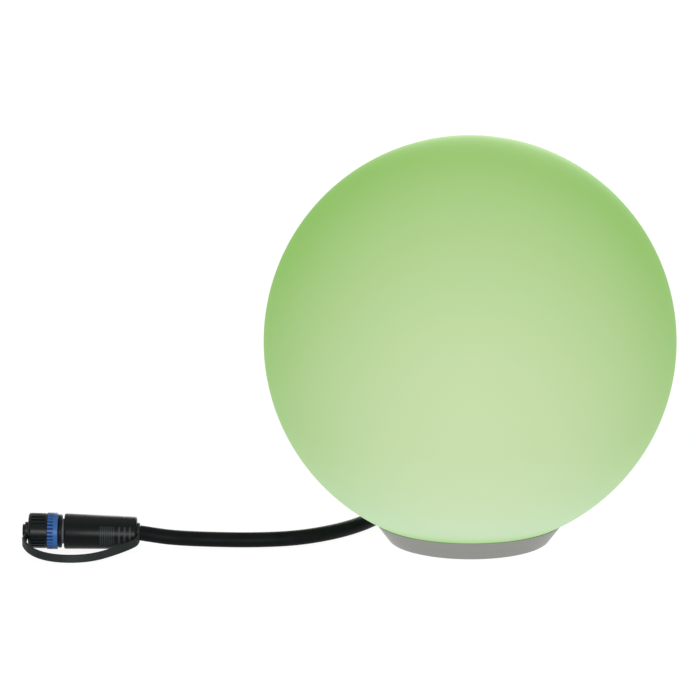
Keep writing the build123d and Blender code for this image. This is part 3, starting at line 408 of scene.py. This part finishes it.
def push(
    bm: bmesh.types.BMesh,
    chosen: Callable[[Vector], bool],
    depth: float,
    lay: Lay,
    second_finish: bool = False,
) -> None:
    """Press a patch of a turned surface in towards the X axis, or raise it.

    Args:
        bm: A mesh turned about X.
        chosen: Tells from a face's middle whether it belongs to the patch.
        depth: How far the patch moves, in metres.
        lay: In or out.
        second_finish: Whether the moved patch wears the piece's second finish: a lighter colour painted as
            highlight on the grip's ribs, a darker one painted as shade in the lock ring's grooves.
    """
    patch = [face for face in bm.faces if chosen(face.calc_center_median())]
    raised = bmesh.ops.extrude_face_region(bm, geom=patch)
    bmesh.ops.delete(bm, geom=patch, context="FACES")
    for vert in (item for item in raised["geom"] if isinstance(item, bmesh.types.BMVert)):
        out = Vector((0.0, vert.co.y, vert.co.z))
        vert.co += out.normalized() * depth * lay.value
    for face in (item for item in raised["geom"] if isinstance(item, bmesh.types.BMFace)):
        face.material_index = int(second_finish)


def round_rims(
    bm: bmesh.types.BMesh, rims: Iterable[tuple[float, float]], amount: float, segments: int = 4
) -> None:
    """Round whole circular edges of a turned mesh.

    Args:
        bm: A mesh turned about X.
        rims: Each rim's distance along X and its radius, in metres.
        amount: Width of the round.
        segments: Faces across the round.
    """
    near = 1e-5
    found = [
        edge
        for edge in bm.edges
        if any(
            all(abs(v.co.x - along) < near and abs(axis_distance(v.co) - radius) < near for v in edge.verts)
            for along, radius in rims
        )
    ]
    bmesh.ops.bevel(
        bm, geom=found, offset=amount, segments=segments, profile=0.5, affect="EDGES", material=-1
    )


def axis_distance(point: Vector) -> float:
    """Distance of a point from the X axis."""
    return math.hypot(point.y, point.z)


def side_angle(point: Vector) -> float:
    """Angle of a point round the X axis in degrees, nought facing the camera and rising upwards."""
    return math.degrees(math.atan2(point.z, point.y))


def lay_route(line: bpy.types.Curve, route: Sequence[Point]) -> None:
    """Lay a smooth spline along a route, from its first point to its last.

    Args:
        line: The curve that takes the spline.
        route: The spline's control points, in metres.
    """
    line.dimensions = "3D"
    line.resolution_u = CURVE_STEPS
    line.use_fill_caps = True
    spline = line.splines.new("NURBS")
    spline.points.add(len(route) - 1)
    for point, place in zip(spline.points, route):
        point.co = (*place, 1.0)
    spline.order_u = 3
    spline.use_endpoint_u = True


def join(target: bmesh.types.BMesh, extra: bmesh.types.BMesh) -> None:
    """Add one bmesh to another and free it.

    Args:
        target: The mesh that grows.
        extra: The mesh that is added.
    """
    carrier = bpy.data.meshes.new("carrier")
    extra.to_mesh(carrier)
    extra.free()
    target.from_mesh(carrier)
    bpy.data.meshes.remove(carrier)


def seen_directly(nodes: bpy.types.Nodes, links: bpy.types.NodeLinks) -> bpy.types.NodeSocket:
    """Tell rays from the camera, or reflected or passed by gloss and glass, from other rays.

    Args:
        nodes: The nodes of a material or the world.
        links: Their links.

    Returns:
        A socket that is 1 for those rays and 0 for others.
    """
    path = nodes.new("ShaderNodeLightPath")
    seen = path.outputs["Is Camera Ray"]
    for kind in ("Is Glossy Ray", "Is Transmission Ray"):
        either = nodes.new("ShaderNodeMath")
        either.operation = "MAXIMUM"
        links.new(seen, either.inputs[0])
        links.new(path.outputs[kind], either.inputs[1])
        seen = either.outputs["Value"]
    return seen


# ------------------------------------------------------------------ the lamp
@dataclass
class Globe:
    """The diffuser globe with its flat lip."""

    radius: float = 100.0 * MM
    centre: float = 99.16 * MM
    mouth: float = 34.64 * MM
    foot: float = 10.06 * MM
    wall: float = 2.5 * MM
    segments: int = 160
    rings: int = 96
    crease: float = 50.0

    def build(self) -> bpy.types.Object:
        """Build the hollow globe and dress it.

        Returns:
            The globe, riding on its own body.
        """
        bm = bmesh.new()
        bmesh.ops.create_uvsphere(bm, u_segments=self.segments, v_segments=self.rings, radius=self.radius)
        bmesh.ops.translate(bm, verts=bm.verts, vec=(0.0, 0.0, self.centre))
        bmesh.ops.bisect_plane(
            bm,
            geom=list(bm.verts) + list(bm.edges) + list(bm.faces),
            plane_co=(0.0, 0.0, self.foot),
            plane_no=(0.0, 0.0, -1.0),
            clear_outer=True,
        )
        rim = [edge for edge in bm.edges if edge.is_boundary]
        lip = bmesh.ops.extrude_edge_only(bm, edges=rim)
        for vert in (item for item in lip["geom"] if isinstance(item, bmesh.types.BMVert)):
            flat = Vector((vert.co.x, vert.co.y, 0.0)).normalized() * self.mouth
            vert.co = Vector((flat.x, flat.y, self.foot))
        bmesh.ops.recalc_face_normals(bm, faces=bm.faces)
        bmesh.ops.solidify(bm, geom=bm.faces, thickness=self.wall)
        made = piece(bm, "diffuser_globe", DIFFUSER, self.crease)
        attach(made, "globe")
        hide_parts("globe_shell")
        return made


# ------------------------------------------------------------------ the lead
@dataclass
class Lead:
    """The black lead: its free stretch on the ground and the stretch held in the base."""

    diameter: float = 7.4 * MM
    length: float = 0.350
    round_steps: int = 10
    held_steps: int = 48
    cut_round: float = 0.4 * MM
    held_from: float = 17.5 * MM
    exit_rho: float = 46.0 * MM
    exit_z: float = 4.76 * MM
    rise: float = math.radians(2.5)
    azimuth: float = math.radians(45.0)
    route: list[Point] = field(
        default_factory=lambda: [
            (0.0325269, 0.0325269, 0.0047600),
            (0.0480684, 0.0480684, 0.0038004),
            (0.0542, 0.0697, 0.0038),
            (0.0488, 0.0912, 0.0038),
            (0.0335, 0.1072, 0.0038),
            (0.0122, 0.1136, 0.0038),
            (-0.0093, 0.1087, 0.0038),
            (-0.0270, 0.0890, 0.0038),
            (-0.0352, 0.0580, 0.0038),
            (-0.0428, 0.0315, 0.0038),
            (-0.0528, 0.0132, 0.0038),
            (-0.0662, -0.0014, 0.0038),
            (-0.0840, -0.0126, 0.0038),
            (-0.1046, -0.0160, 0.0038),
            (-0.1280, -0.0146, 0.0038),
            (-0.1448, -0.0190, 0.0059),
            (-0.1543, -0.0185, 0.0072),
            (-0.1601, -0.0176, 0.00787),
        ]
    )

    def build(self, with_pieces: Sequence[bpy.types.Object]) -> bpy.types.Object:
        """Lay the free lead as one smooth curve.

        Args:
            with_pieces: Not used.

        Returns:
            The lead's curve.
        """
        line = bpy.data.curves.new("lead", "CURVE")
        line.bevel_depth = self.diameter / 2
        line.bevel_resolution = self.round_steps
        lay_route(line, self.route)
        made = bpy.data.objects.new("lead", line)
        bpy.context.scene.collection.objects.link(made)
        line.materials.append(CORD_RUBBER.material())
        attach(made, "base")
        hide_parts("power_cord")
        return made

    def build_held(self) -> bpy.types.Object:
        """Build the straight stretch inside the base.

        Returns:
            The held stretch, riding on the base.
        """
        level_run = self.exit_rho - self.held_from
        run = level_run / math.cos(self.rise)
        radius = self.diameter / 2
        bm = lathe([(0.0, 0.0), (0.0, radius), (run, radius), (run, 0.0)], self.held_steps, closed=False)
        round_rims(bm, [(0.0, radius)], self.cut_round, 3)
        inner_x = self.held_from * math.cos(self.azimuth)
        inner_y = self.held_from * math.sin(self.azimuth)
        start = Vector((inner_x, inner_y, self.exit_z + level_run * math.tan(self.rise)))
        turn = Matrix.Rotation(self.azimuth, 4, "Z") @ Matrix.Rotation(self.rise, 4, "Y")
        bmesh.ops.transform(bm, matrix=Matrix.Translation(start) @ turn, verts=bm.verts)
        made = piece(bm, "lead_held", CORD_RUBBER)
        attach(made, "base")
        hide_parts("cord_tail")
        return made


# ------------------------------------------------------------------ the plug
@dataclass(frozen=True)
class RibRow:
    """A row of equal ribs along the grip."""

    start: float
    pitch: float
    width: float
    count: int

    def spans(self) -> list[tuple[float, float]]:
        """Where each rib begins and ends along the grip."""
        starts = [self.start + self.pitch * index for index in range(self.count)]
        return [(start, start + self.width) for start in starts]


@dataclass
class Plug:
    """The capped plug: grip, locking ring, cap and strap, all turned about one axis.

    Places are distances along the axis from the lead's end, and radii are taken from it.

    Attributes:
        origin: Where the lead ends and the axis begins.
        rise: Angle by which the axis climbs away from the lead.
        collar: Length and radius of the grip's rear collar.
        strap_cut: Share of its height that the grip's underside loses at its rear end.
        skin_depth: How far below a turned skin its own faces may lie.
        lock: Where the locking ring begins and ends, and its radius.
        cap: Where the cap begins and ends, and its radius.
        knob: Radius of the knob's stem, where its head begins and ends, and the head's radius.
        front_eye: Where the eye round the knob begins and ends, its hole's radius and its rim's.
        rear_eye: The same of the eye behind the grip.
        band: Thickness and width of the strap's band.
    """

    origin: Point = (-0.1601, -0.0176, 0.00787)
    rise: float = math.radians(1.4)
    collar: tuple[float, float] = (1.5 * MM, 4.3 * MM)
    grip_end: float = 36.6 * MM
    rear_r: float = 7.85 * MM
    front_r: float = 8.6 * MM
    stem_r: float = 5.45 * MM
    stem_start: float = 30.0 * MM
    grip_round: float = 0.9 * MM
    grip_steps: int = 96
    wide_ribs: RibRow = RibRow(4.1 * MM, 2.6 * MM, 1.0 * MM, 3)
    fine_ribs: RibRow = RibRow(12.3 * MM, 1.05 * MM, 0.5 * MM, 7)
    rib_height: float = 0.22 * MM
    rib_arc: float = 34.0
    strap_cut: float = 0.32
    strap_cut_run: float = 14.0 * MM
    skin_depth: float = 0.4 * MM
    lock: tuple[float, float, float] = (39.6 * MM, 44.7 * MM, 8.85 * MM)
    lock_round: float = 0.4 * MM
    lock_lug: tuple[float, float] = (40.6 * MM, 42.2 * MM)
    teeth: int = 30
    tooth_from: float = 41.9 * MM
    tooth_depth: float = 0.85 * MM
    pointer: tuple[float, float] = (40.2 * MM, 41.3 * MM)
    pointer_angle: float = 6.0
    pointer_half_arc: float = 7.0
    pointer_height: float = 0.12 * MM
    bore_r: float = 6.7 * MM
    lug_r: float = 6.1 * MM
    lug_arc: float = 24.0
    cap: tuple[float, float, float] = (44.9 * MM, 54.0 * MM, 8.5 * MM)
    cap_round: float = 1.2 * MM
    cap_floor: float = 52.2 * MM
    cap_lug: tuple[float, float] = (48.8 * MM, 50.2 * MM)
    cap_ribs: int = 26
    cap_groove: float = 0.60 * MM
    cap_groove_ends: tuple[float, float] = (0.8 * MM, 1.5 * MM)
    knob_round: float = 0.45 * MM
    knob: tuple[float, float, float, float] = (1.6 * MM, 55.9 * MM, 56.9 * MM, 3.0 * MM)
    front_eye: tuple[float, float, float, float] = (54.2 * MM, 55.7 * MM, 1.75 * MM, 4.1 * MM)
    rear_eye: tuple[float, float, float, float] = (0.1 * MM, 1.4 * MM, 4.35 * MM, 4.95 * MM)
    eye_round: float = 0.3 * MM
    eye_steps: int = 64
    band: tuple[float, float] = (1.3 * MM, 3.9 * MM)
    band_chamfer: float = 0.28 * MM
    band_route: list[Point] = field(
        default_factory=lambda: [
            (-0.21505, -0.0195, 0.0079),
            (-0.2152, -0.0226, 0.0064),
            (-0.2167, -0.0266, 0.0060),
            (-0.2126, -0.0340, 0.0032),
            (-0.2042, -0.0411, 0.0021),
            (-0.1930, -0.0443, 0.0020),
            (-0.1818, -0.0416, 0.0021),
            (-0.1724, -0.0346, 0.0030),
            (-0.1638, -0.0289, 0.0049),
            (-0.1604, -0.0255, 0.0062),
            (-0.1607, -0.0206, 0.0078),
        ]
    )

    def place(self) -> Matrix:
        """Placement of the plug: local X is its axis, local Y faces the camera and local Z is up."""
        along = Vector((-math.cos(self.rise), 0.0, math.sin(self.rise)))
        up = Vector((math.sin(self.rise), 0.0, math.cos(self.rise)))
        near = up.cross(along)
        turn = Matrix((along, near, up)).transposed().to_4x4()
        return Matrix.Translation(Vector(self.origin)) @ turn

    def finish(
        self, bm: bmesh.types.BMesh, name: str, finish: Finish, node: str, body: str, slot: str
    ) -> bpy.types.Object:
        """Move a piece turned about X into the plug's place and dress it.

        Args:
            bm: The turned mesh.
            name: The object's name.
            finish: Its finish.
            node: The solid it stands for.
            body: The body it rides on.
            slot: Not used.

        Returns:
            The dressed object.
        """
        bmesh.ops.transform(bm, matrix=self.place(), verts=bm.verts)
        made = piece(bm, name, finish)
        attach(made, body)
        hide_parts(node)
        return made

    def skin(self, along: float) -> float:
        """Radius of the tapered grip at a distance along it."""
        share = (along - self.collar[0]) / (self.grip_end - self.collar[0])
        return self.rear_r + (self.front_r - self.rear_r) * share

    def raise_rib(self, bm: bmesh.types.BMesh, start: float, end: float) -> None:
        """Raise one rib on the grip's near cheek and one opposite it.

        Args:
            bm: The grip's mesh.
            start: Where the rib begins along the grip.
            end: Where it ends.
        """
        middle = (start + end) / 2
        near = (end - start) / 4
        # The rib faces take the second finish, the painted highlight.
        push(
            bm,
            lambda c: abs(c.x - middle) < near
            and axis_distance(c) > self.rear_r - self.skin_depth
            and min(abs(side_angle(c)), 180.0 - abs(side_angle(c))) < self.rib_arc,
            self.rib_height,
            Lay.OUT,
            second_finish=True,
        )

    def build_grip(self) -> bpy.types.Object:
        """Build the tapered grip, ringed at its rear, ribbed before that and cut away below the strap.

        Returns:
            The grip.
        """
        ribs = self.wide_ribs.spans() + self.fine_ribs.spans()
        stops = sorted(edge for pair in ribs for edge in pair)
        outer = [(along, self.skin(along)) for along in [self.collar[0], *stops, self.grip_end]]
        profile = [
            (0.0, 0.0),
            (0.0, self.collar[1]),
            (self.collar[0], self.collar[1]),
            *outer,
            (self.grip_end, self.stem_r),
            (self.stem_start, self.stem_r),
            (self.stem_start, 0.0),
        ]
        bm = lathe(profile, self.grip_steps, closed=False)
        for start, end in ribs:
            self.raise_rib(bm, start, end)
        round_rims(bm, [(self.collar[0], self.rear_r), (self.grip_end, self.front_r)], self.grip_round, 5)
        for vert in (vert for vert in bm.verts if vert.co.z < 0.0):
            vert.co.z *= 1.0 - self.strap_cut * max(0.0, 1.0 - vert.co.x / self.strap_cut_run)
        made = self.finish(bm, "plug_grip", GRIP_BLACK, "plug_body", "base", "plug_black")
        # Second slot: the lighter rib black, a painted highlight on the rib tops.
        made.data.materials.append(RIB_HIGHLIGHT_BLACK.material())
        return made

    def cut_grooves(
        self,
        bm: bmesh.types.BMesh,
        span: tuple[float, float],
        radius: float,
        count: int,
        depth: float,
        second_finish: bool = False,
    ) -> None:
        """Press evenly spaced grooves into a turned skin.

        Args:
            bm: The turned mesh.
            span: Where the grooves begin and end along the axis.
            radius: Radius of the skin.
            count: How many grooves go round.
            depth: How deep they are.
            second_finish: Whether their floors wear the piece's second finish, a darker colour painted as
                shade.
        """
        pitch = 360.0 / count
        push(
            bm,
            lambda c: span[0] < c.x < span[1]
            and axis_distance(c) > radius - self.skin_depth
            and side_angle(c) % pitch > pitch / 2,
            depth,
            Lay.IN,
            second_finish,
        )

    def raise_lugs(self, bm: bmesh.types.BMesh, span: tuple[float, float]) -> None:
        """Raise two bayonet lugs inside a bore, one above the axis and one below.

        Args:
            bm: The turned mesh.
            span: Where the lugs begin and end along the axis.
        """
        push(
            bm,
            lambda c: span[0] < c.x < span[1]
            and axis_distance(c) < self.bore_r + self.skin_depth
            and (90.0 - side_angle(c)) % 180.0 < self.lug_arc,
            self.bore_r - self.lug_r,
            Lay.IN,
        )

    def build_lock_ring(self) -> bpy.types.Object:
        """Build the locking ring: toothed towards the cap, with a plain band and a pointer.

        Returns:
            The locking ring.
        """
        start, end, radius = self.lock
        outer = [(along, radius) for along in (start, *self.pointer, self.tooth_from, end)]
        inner = [(along, self.bore_r) for along in (end, *reversed(self.lock_lug), start)]
        bm = lathe([*outer, *inner], self.teeth * FACES_A_TOOTH)
        gaps = (self.tooth_from, end)
        # The groove floors take the second finish, painted shade.
        self.cut_grooves(bm, gaps, radius, self.teeth, self.tooth_depth, second_finish=True)
        push(
            bm,
            lambda c: self.pointer[0] < c.x < self.pointer[1]
            and axis_distance(c) > radius - self.skin_depth
            and abs(side_angle(c) - self.pointer_angle) < self.pointer_half_arc,
            self.pointer_height,
            Lay.OUT,
        )
        self.raise_lugs(bm, self.lock_lug)
        round_rims(bm, [(start, radius)], self.lock_round, 3)
        made = self.finish(bm, "blue_lock_ring", LOCK_BLUE, "lock_ring", "lock_ring", "lock_blue")
        # Second slot: the darker groove blue, painted shade in the grooves.
        made.data.materials.append(GROOVE_SHADE_BLUE.material())
        return made

    def build_cap(self) -> bpy.types.Object:
        """Build the ribbed cap with its knob.

        Returns:
            The cap.
        """
        start, end, radius = self.cap
        stem, head_start, head_end, head = self.knob
        groove = (start + self.cap_groove_ends[0], end - self.cap_groove_ends[1])
        outside = [
            (start, self.bore_r),
            (start, radius),
            (groove[0], radius),
            (groove[1], radius),
            (end, radius),
            (end, stem),
            (head_start, stem),
            (head_start, head),
            (head_end, head),
            (head_end, 0.0),
        ]
        bore = [(along, self.bore_r) for along in (self.cap_floor, *reversed(self.cap_lug))]
        bm = lathe([*outside, (self.cap_floor, 0.0), *bore], self.cap_ribs * FACES_A_TOOTH)
        round_rims(bm, [(end, radius)], self.cap_round, 5)
        self.cut_grooves(bm, groove, radius, self.cap_ribs, self.cap_groove)
        self.raise_lugs(bm, self.cap_lug)
        round_rims(bm, [(head_end, head)], self.knob_round)
        return self.finish(bm, "ribbed_cap", CAP_BLACK, "dust_cap", "dust_cap", "cap_black")

    def build_strap(self) -> bpy.types.Object:
        """Build the flat strap with an eye round the knob and one behind the grip.

        Returns:
            The strap, as one object.
        """
        bm = bmesh.new()
        for start, end, hole, rim in (self.front_eye, self.rear_eye):
            eye = lathe([(start, hole), (start, rim), (end, rim), (end, hole)], self.eye_steps)
            round_rims(eye, [(start, rim), (end, rim)], self.eye_round, 3)
            bmesh.ops.transform(eye, matrix=self.place(), verts=eye.verts)
            join(bm, eye)
        join(bm, self.band_mesh())
        made = piece(bm, "cap_tether", STRAP_RUBBER)
        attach(made, "base")
        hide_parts("cap_strap")
        return made

    def band_mesh(self) -> bmesh.types.BMesh:
        """Sweep the band's upright section along its route.

        Returns:
            The closed band.
        """
        half_thick, half_wide = self.band[0] / 2, self.band[1] / 2
        cut = self.band_chamfer
        section = bpy.data.curves.new("band_section", "CURVE")
        outline = section.splines.new("POLY")
        corners = [
            (-half_thick + cut, -half_wide),
            (half_thick - cut, -half_wide),
            (half_thick, -half_wide + cut),
            (half_thick, half_wide - cut),
            (half_thick - cut, half_wide),
            (-half_thick + cut, half_wide),
            (-half_thick, half_wide - cut),
            (-half_thick, -half_wide + cut),
        ]
        outline.points.add(len(corners) - 1)
        for point, (x, y) in zip(outline.points, corners):
            point.co = (x, y, 0.0, 1.0)
        outline.use_cyclic_u = True
        cutter = bpy.data.objects.new("band_section", section)
        bpy.context.scene.collection.objects.link(cutter)
        line = bpy.data.curves.new("band_line", "CURVE")
        line.twist_mode = "Z_UP"
        line.bevel_mode = "OBJECT"
        line.bevel_object = cutter
        lay_route(line, self.band_route)
        guide = bpy.data.objects.new("band_line", line)
        bpy.context.scene.collection.objects.link(guide)
        swept = bpy.data.meshes.new_from_object(guide.evaluated_get(bpy.context.evaluated_depsgraph_get()))
        bm = bmesh.new()
        bm.from_mesh(swept)
        for spare in (guide, cutter):
            bpy.data.objects.remove(spare)
        bpy.data.meshes.remove(swept)
        bmesh.ops.remove_doubles(bm, verts=bm.verts, dist=SAME_PLACE)
        return bm


# ------------------------------------------------------------------ the studio
@dataclass
class Studio:
    """Pale floor, soft lamps and the camera at the photograph's viewing angle."""

    camera_at: Point = (-0.0591, -2.4347, 0.6665)
    pitch: float = math.radians(76.81)
    lens: float = 266.8
    sensor: float = 36.0
    sight: float = 60.0
    aim: Point = (-0.02, 0.0, 0.09)
    floor_half: float = 12.0
    floor_grey: float = 0.30
    floor_roughness: float = 0.9
    floor_glow: float = 0.92
    ambient: float = 0.10
    lamps: tuple[tuple[str, Point, float, float], ...] = (
        ("front", (0.00, -2.00, 0.20), 0.38, 28.0),
        ("overhead", (0.0, 0.0, 1.70), 1.4, 3.0),
        ("behind", (0.2, 2.00, 0.50), 0.9, 15.0),
    )

    def build(self) -> None:
        """Set the camera, the lamps, the floor and the white surroundings."""
        self.build_camera()
        for name, place, size, watts in self.lamps:
            self.build_lamp(name, place, size, watts)
        self.build_floor()
        self.build_world()
        bpy.context.scene.view_settings.view_transform = "Standard"

    def build_camera(self) -> None:
        """Place the camera as the photograph's was."""
        view = bpy.data.cameras.new("camera")
        view.lens = self.lens
        view.sensor_width = self.sensor
        view.clip_end = self.sight
        camera = bpy.data.objects.new("camera", view)
        camera.location = self.camera_at
        camera.rotation_euler = (self.pitch, 0.0, 0.0)
        bpy.context.scene.collection.objects.link(camera)
        bpy.context.scene.camera = camera

    def build_lamp(self, name: str, place: Point, size: float, watts: float) -> None:
        """Hang one square soft lamp that faces the globe.

        Args:
            name: The lamp's name.
            place: Where it hangs.
            size: Side of its face.
            watts: Its power.
        """
        light = bpy.data.lights.new(name, "AREA")
        light.shape = "SQUARE"
        light.size = size
        light.energy = watts
        made = bpy.data.objects.new(name, light)
        made.location = place
        facing = Vector(self.aim) - Vector(place)
        made.rotation_euler = facing.to_track_quat("-Z", "Y").to_euler()
        made.visible_camera = False
        bpy.context.scene.collection.objects.link(made)

    def build_floor(self) -> None:
        """Lay a pale floor that keeps the object's shadow and is white away from it."""
        bm = bmesh.new()
        bmesh.ops.create_grid(bm, x_segments=1, y_segments=1, size=self.floor_half)
        mesh = bpy.data.meshes.new("floor")
        bm.to_mesh(mesh)
        bm.free()
        floor = bpy.data.objects.new("floor", mesh)
        bpy.context.scene.collection.objects.link(floor)
        made = bpy.data.materials.new("pale_floor")
        made.use_nodes = True
        nodes, links = made.node_tree.nodes, made.node_tree.links
        shader = nodes["Principled BSDF"]
        shader.inputs["Base Color"].default_value = (*[self.floor_grey] * 3, 1.0)
        shader.inputs["Roughness"].default_value = self.floor_roughness
        shader.inputs["Specular IOR Level"].default_value = 0.0
        shader.inputs["Emission Color"].default_value = (1.0, 1.0, 1.0, 1.0)
        strength = nodes.new("ShaderNodeMath")
        strength.operation = "MULTIPLY"
        strength.inputs[1].default_value = self.floor_glow
        links.new(seen_directly(nodes, links), strength.inputs[0])
        links.new(strength.outputs["Value"], shader.inputs["Emission Strength"])
        floor.data.materials.append(made)

    def build_world(self) -> None:
        """Surround the scene with even light that looks white to the camera and in reflections."""
        world = bpy.data.worlds.new("surroundings")
        bpy.context.scene.world = world
        world.use_nodes = True
        nodes, links = world.node_tree.nodes, world.node_tree.links
        back = nodes["Background"]
        back.inputs["Color"].default_value = (1.0, 1.0, 1.0, 1.0)
        level = nodes.new("ShaderNodeMapRange")
        level.inputs["To Min"].default_value = self.ambient
        level.inputs["To Max"].default_value = 1.0
        links.new(seen_directly(nodes, links), level.inputs["Value"])
        links.new(level.outputs["Result"], back.inputs["Strength"])


def dress_nodes() -> None:
    """Give every solid its finish."""
    for name, finish in NODE_FINISH.items():
        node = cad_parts[name]
        node.data.materials.clear()
        node.data.materials.append(finish.material())
        log.info("dressed %s", name)


def main() -> None:
    """Build the camera, the lead, the plug and the globe."""
    logging.basicConfig(level=logging.INFO)
    Studio().build()
    dress_nodes()
    plug = Plug()
    on_lead = [plug.build_grip(), plug.build_lock_ring(), plug.build_cap(), plug.build_strap()]
    inside = ("neck_seal", "plug_barrel", "contact_carrier", "contact_pins", "barrel_seal")
    on_lead += [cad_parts[name] for name in inside]
    lead = Lead()
    made = [lead.build(on_lead), lead.build_held(), Globe().build()]
    for each in [*on_lead, *made]:
        log.info("built %s", each.name)


if __name__ == "__main__":
    main()
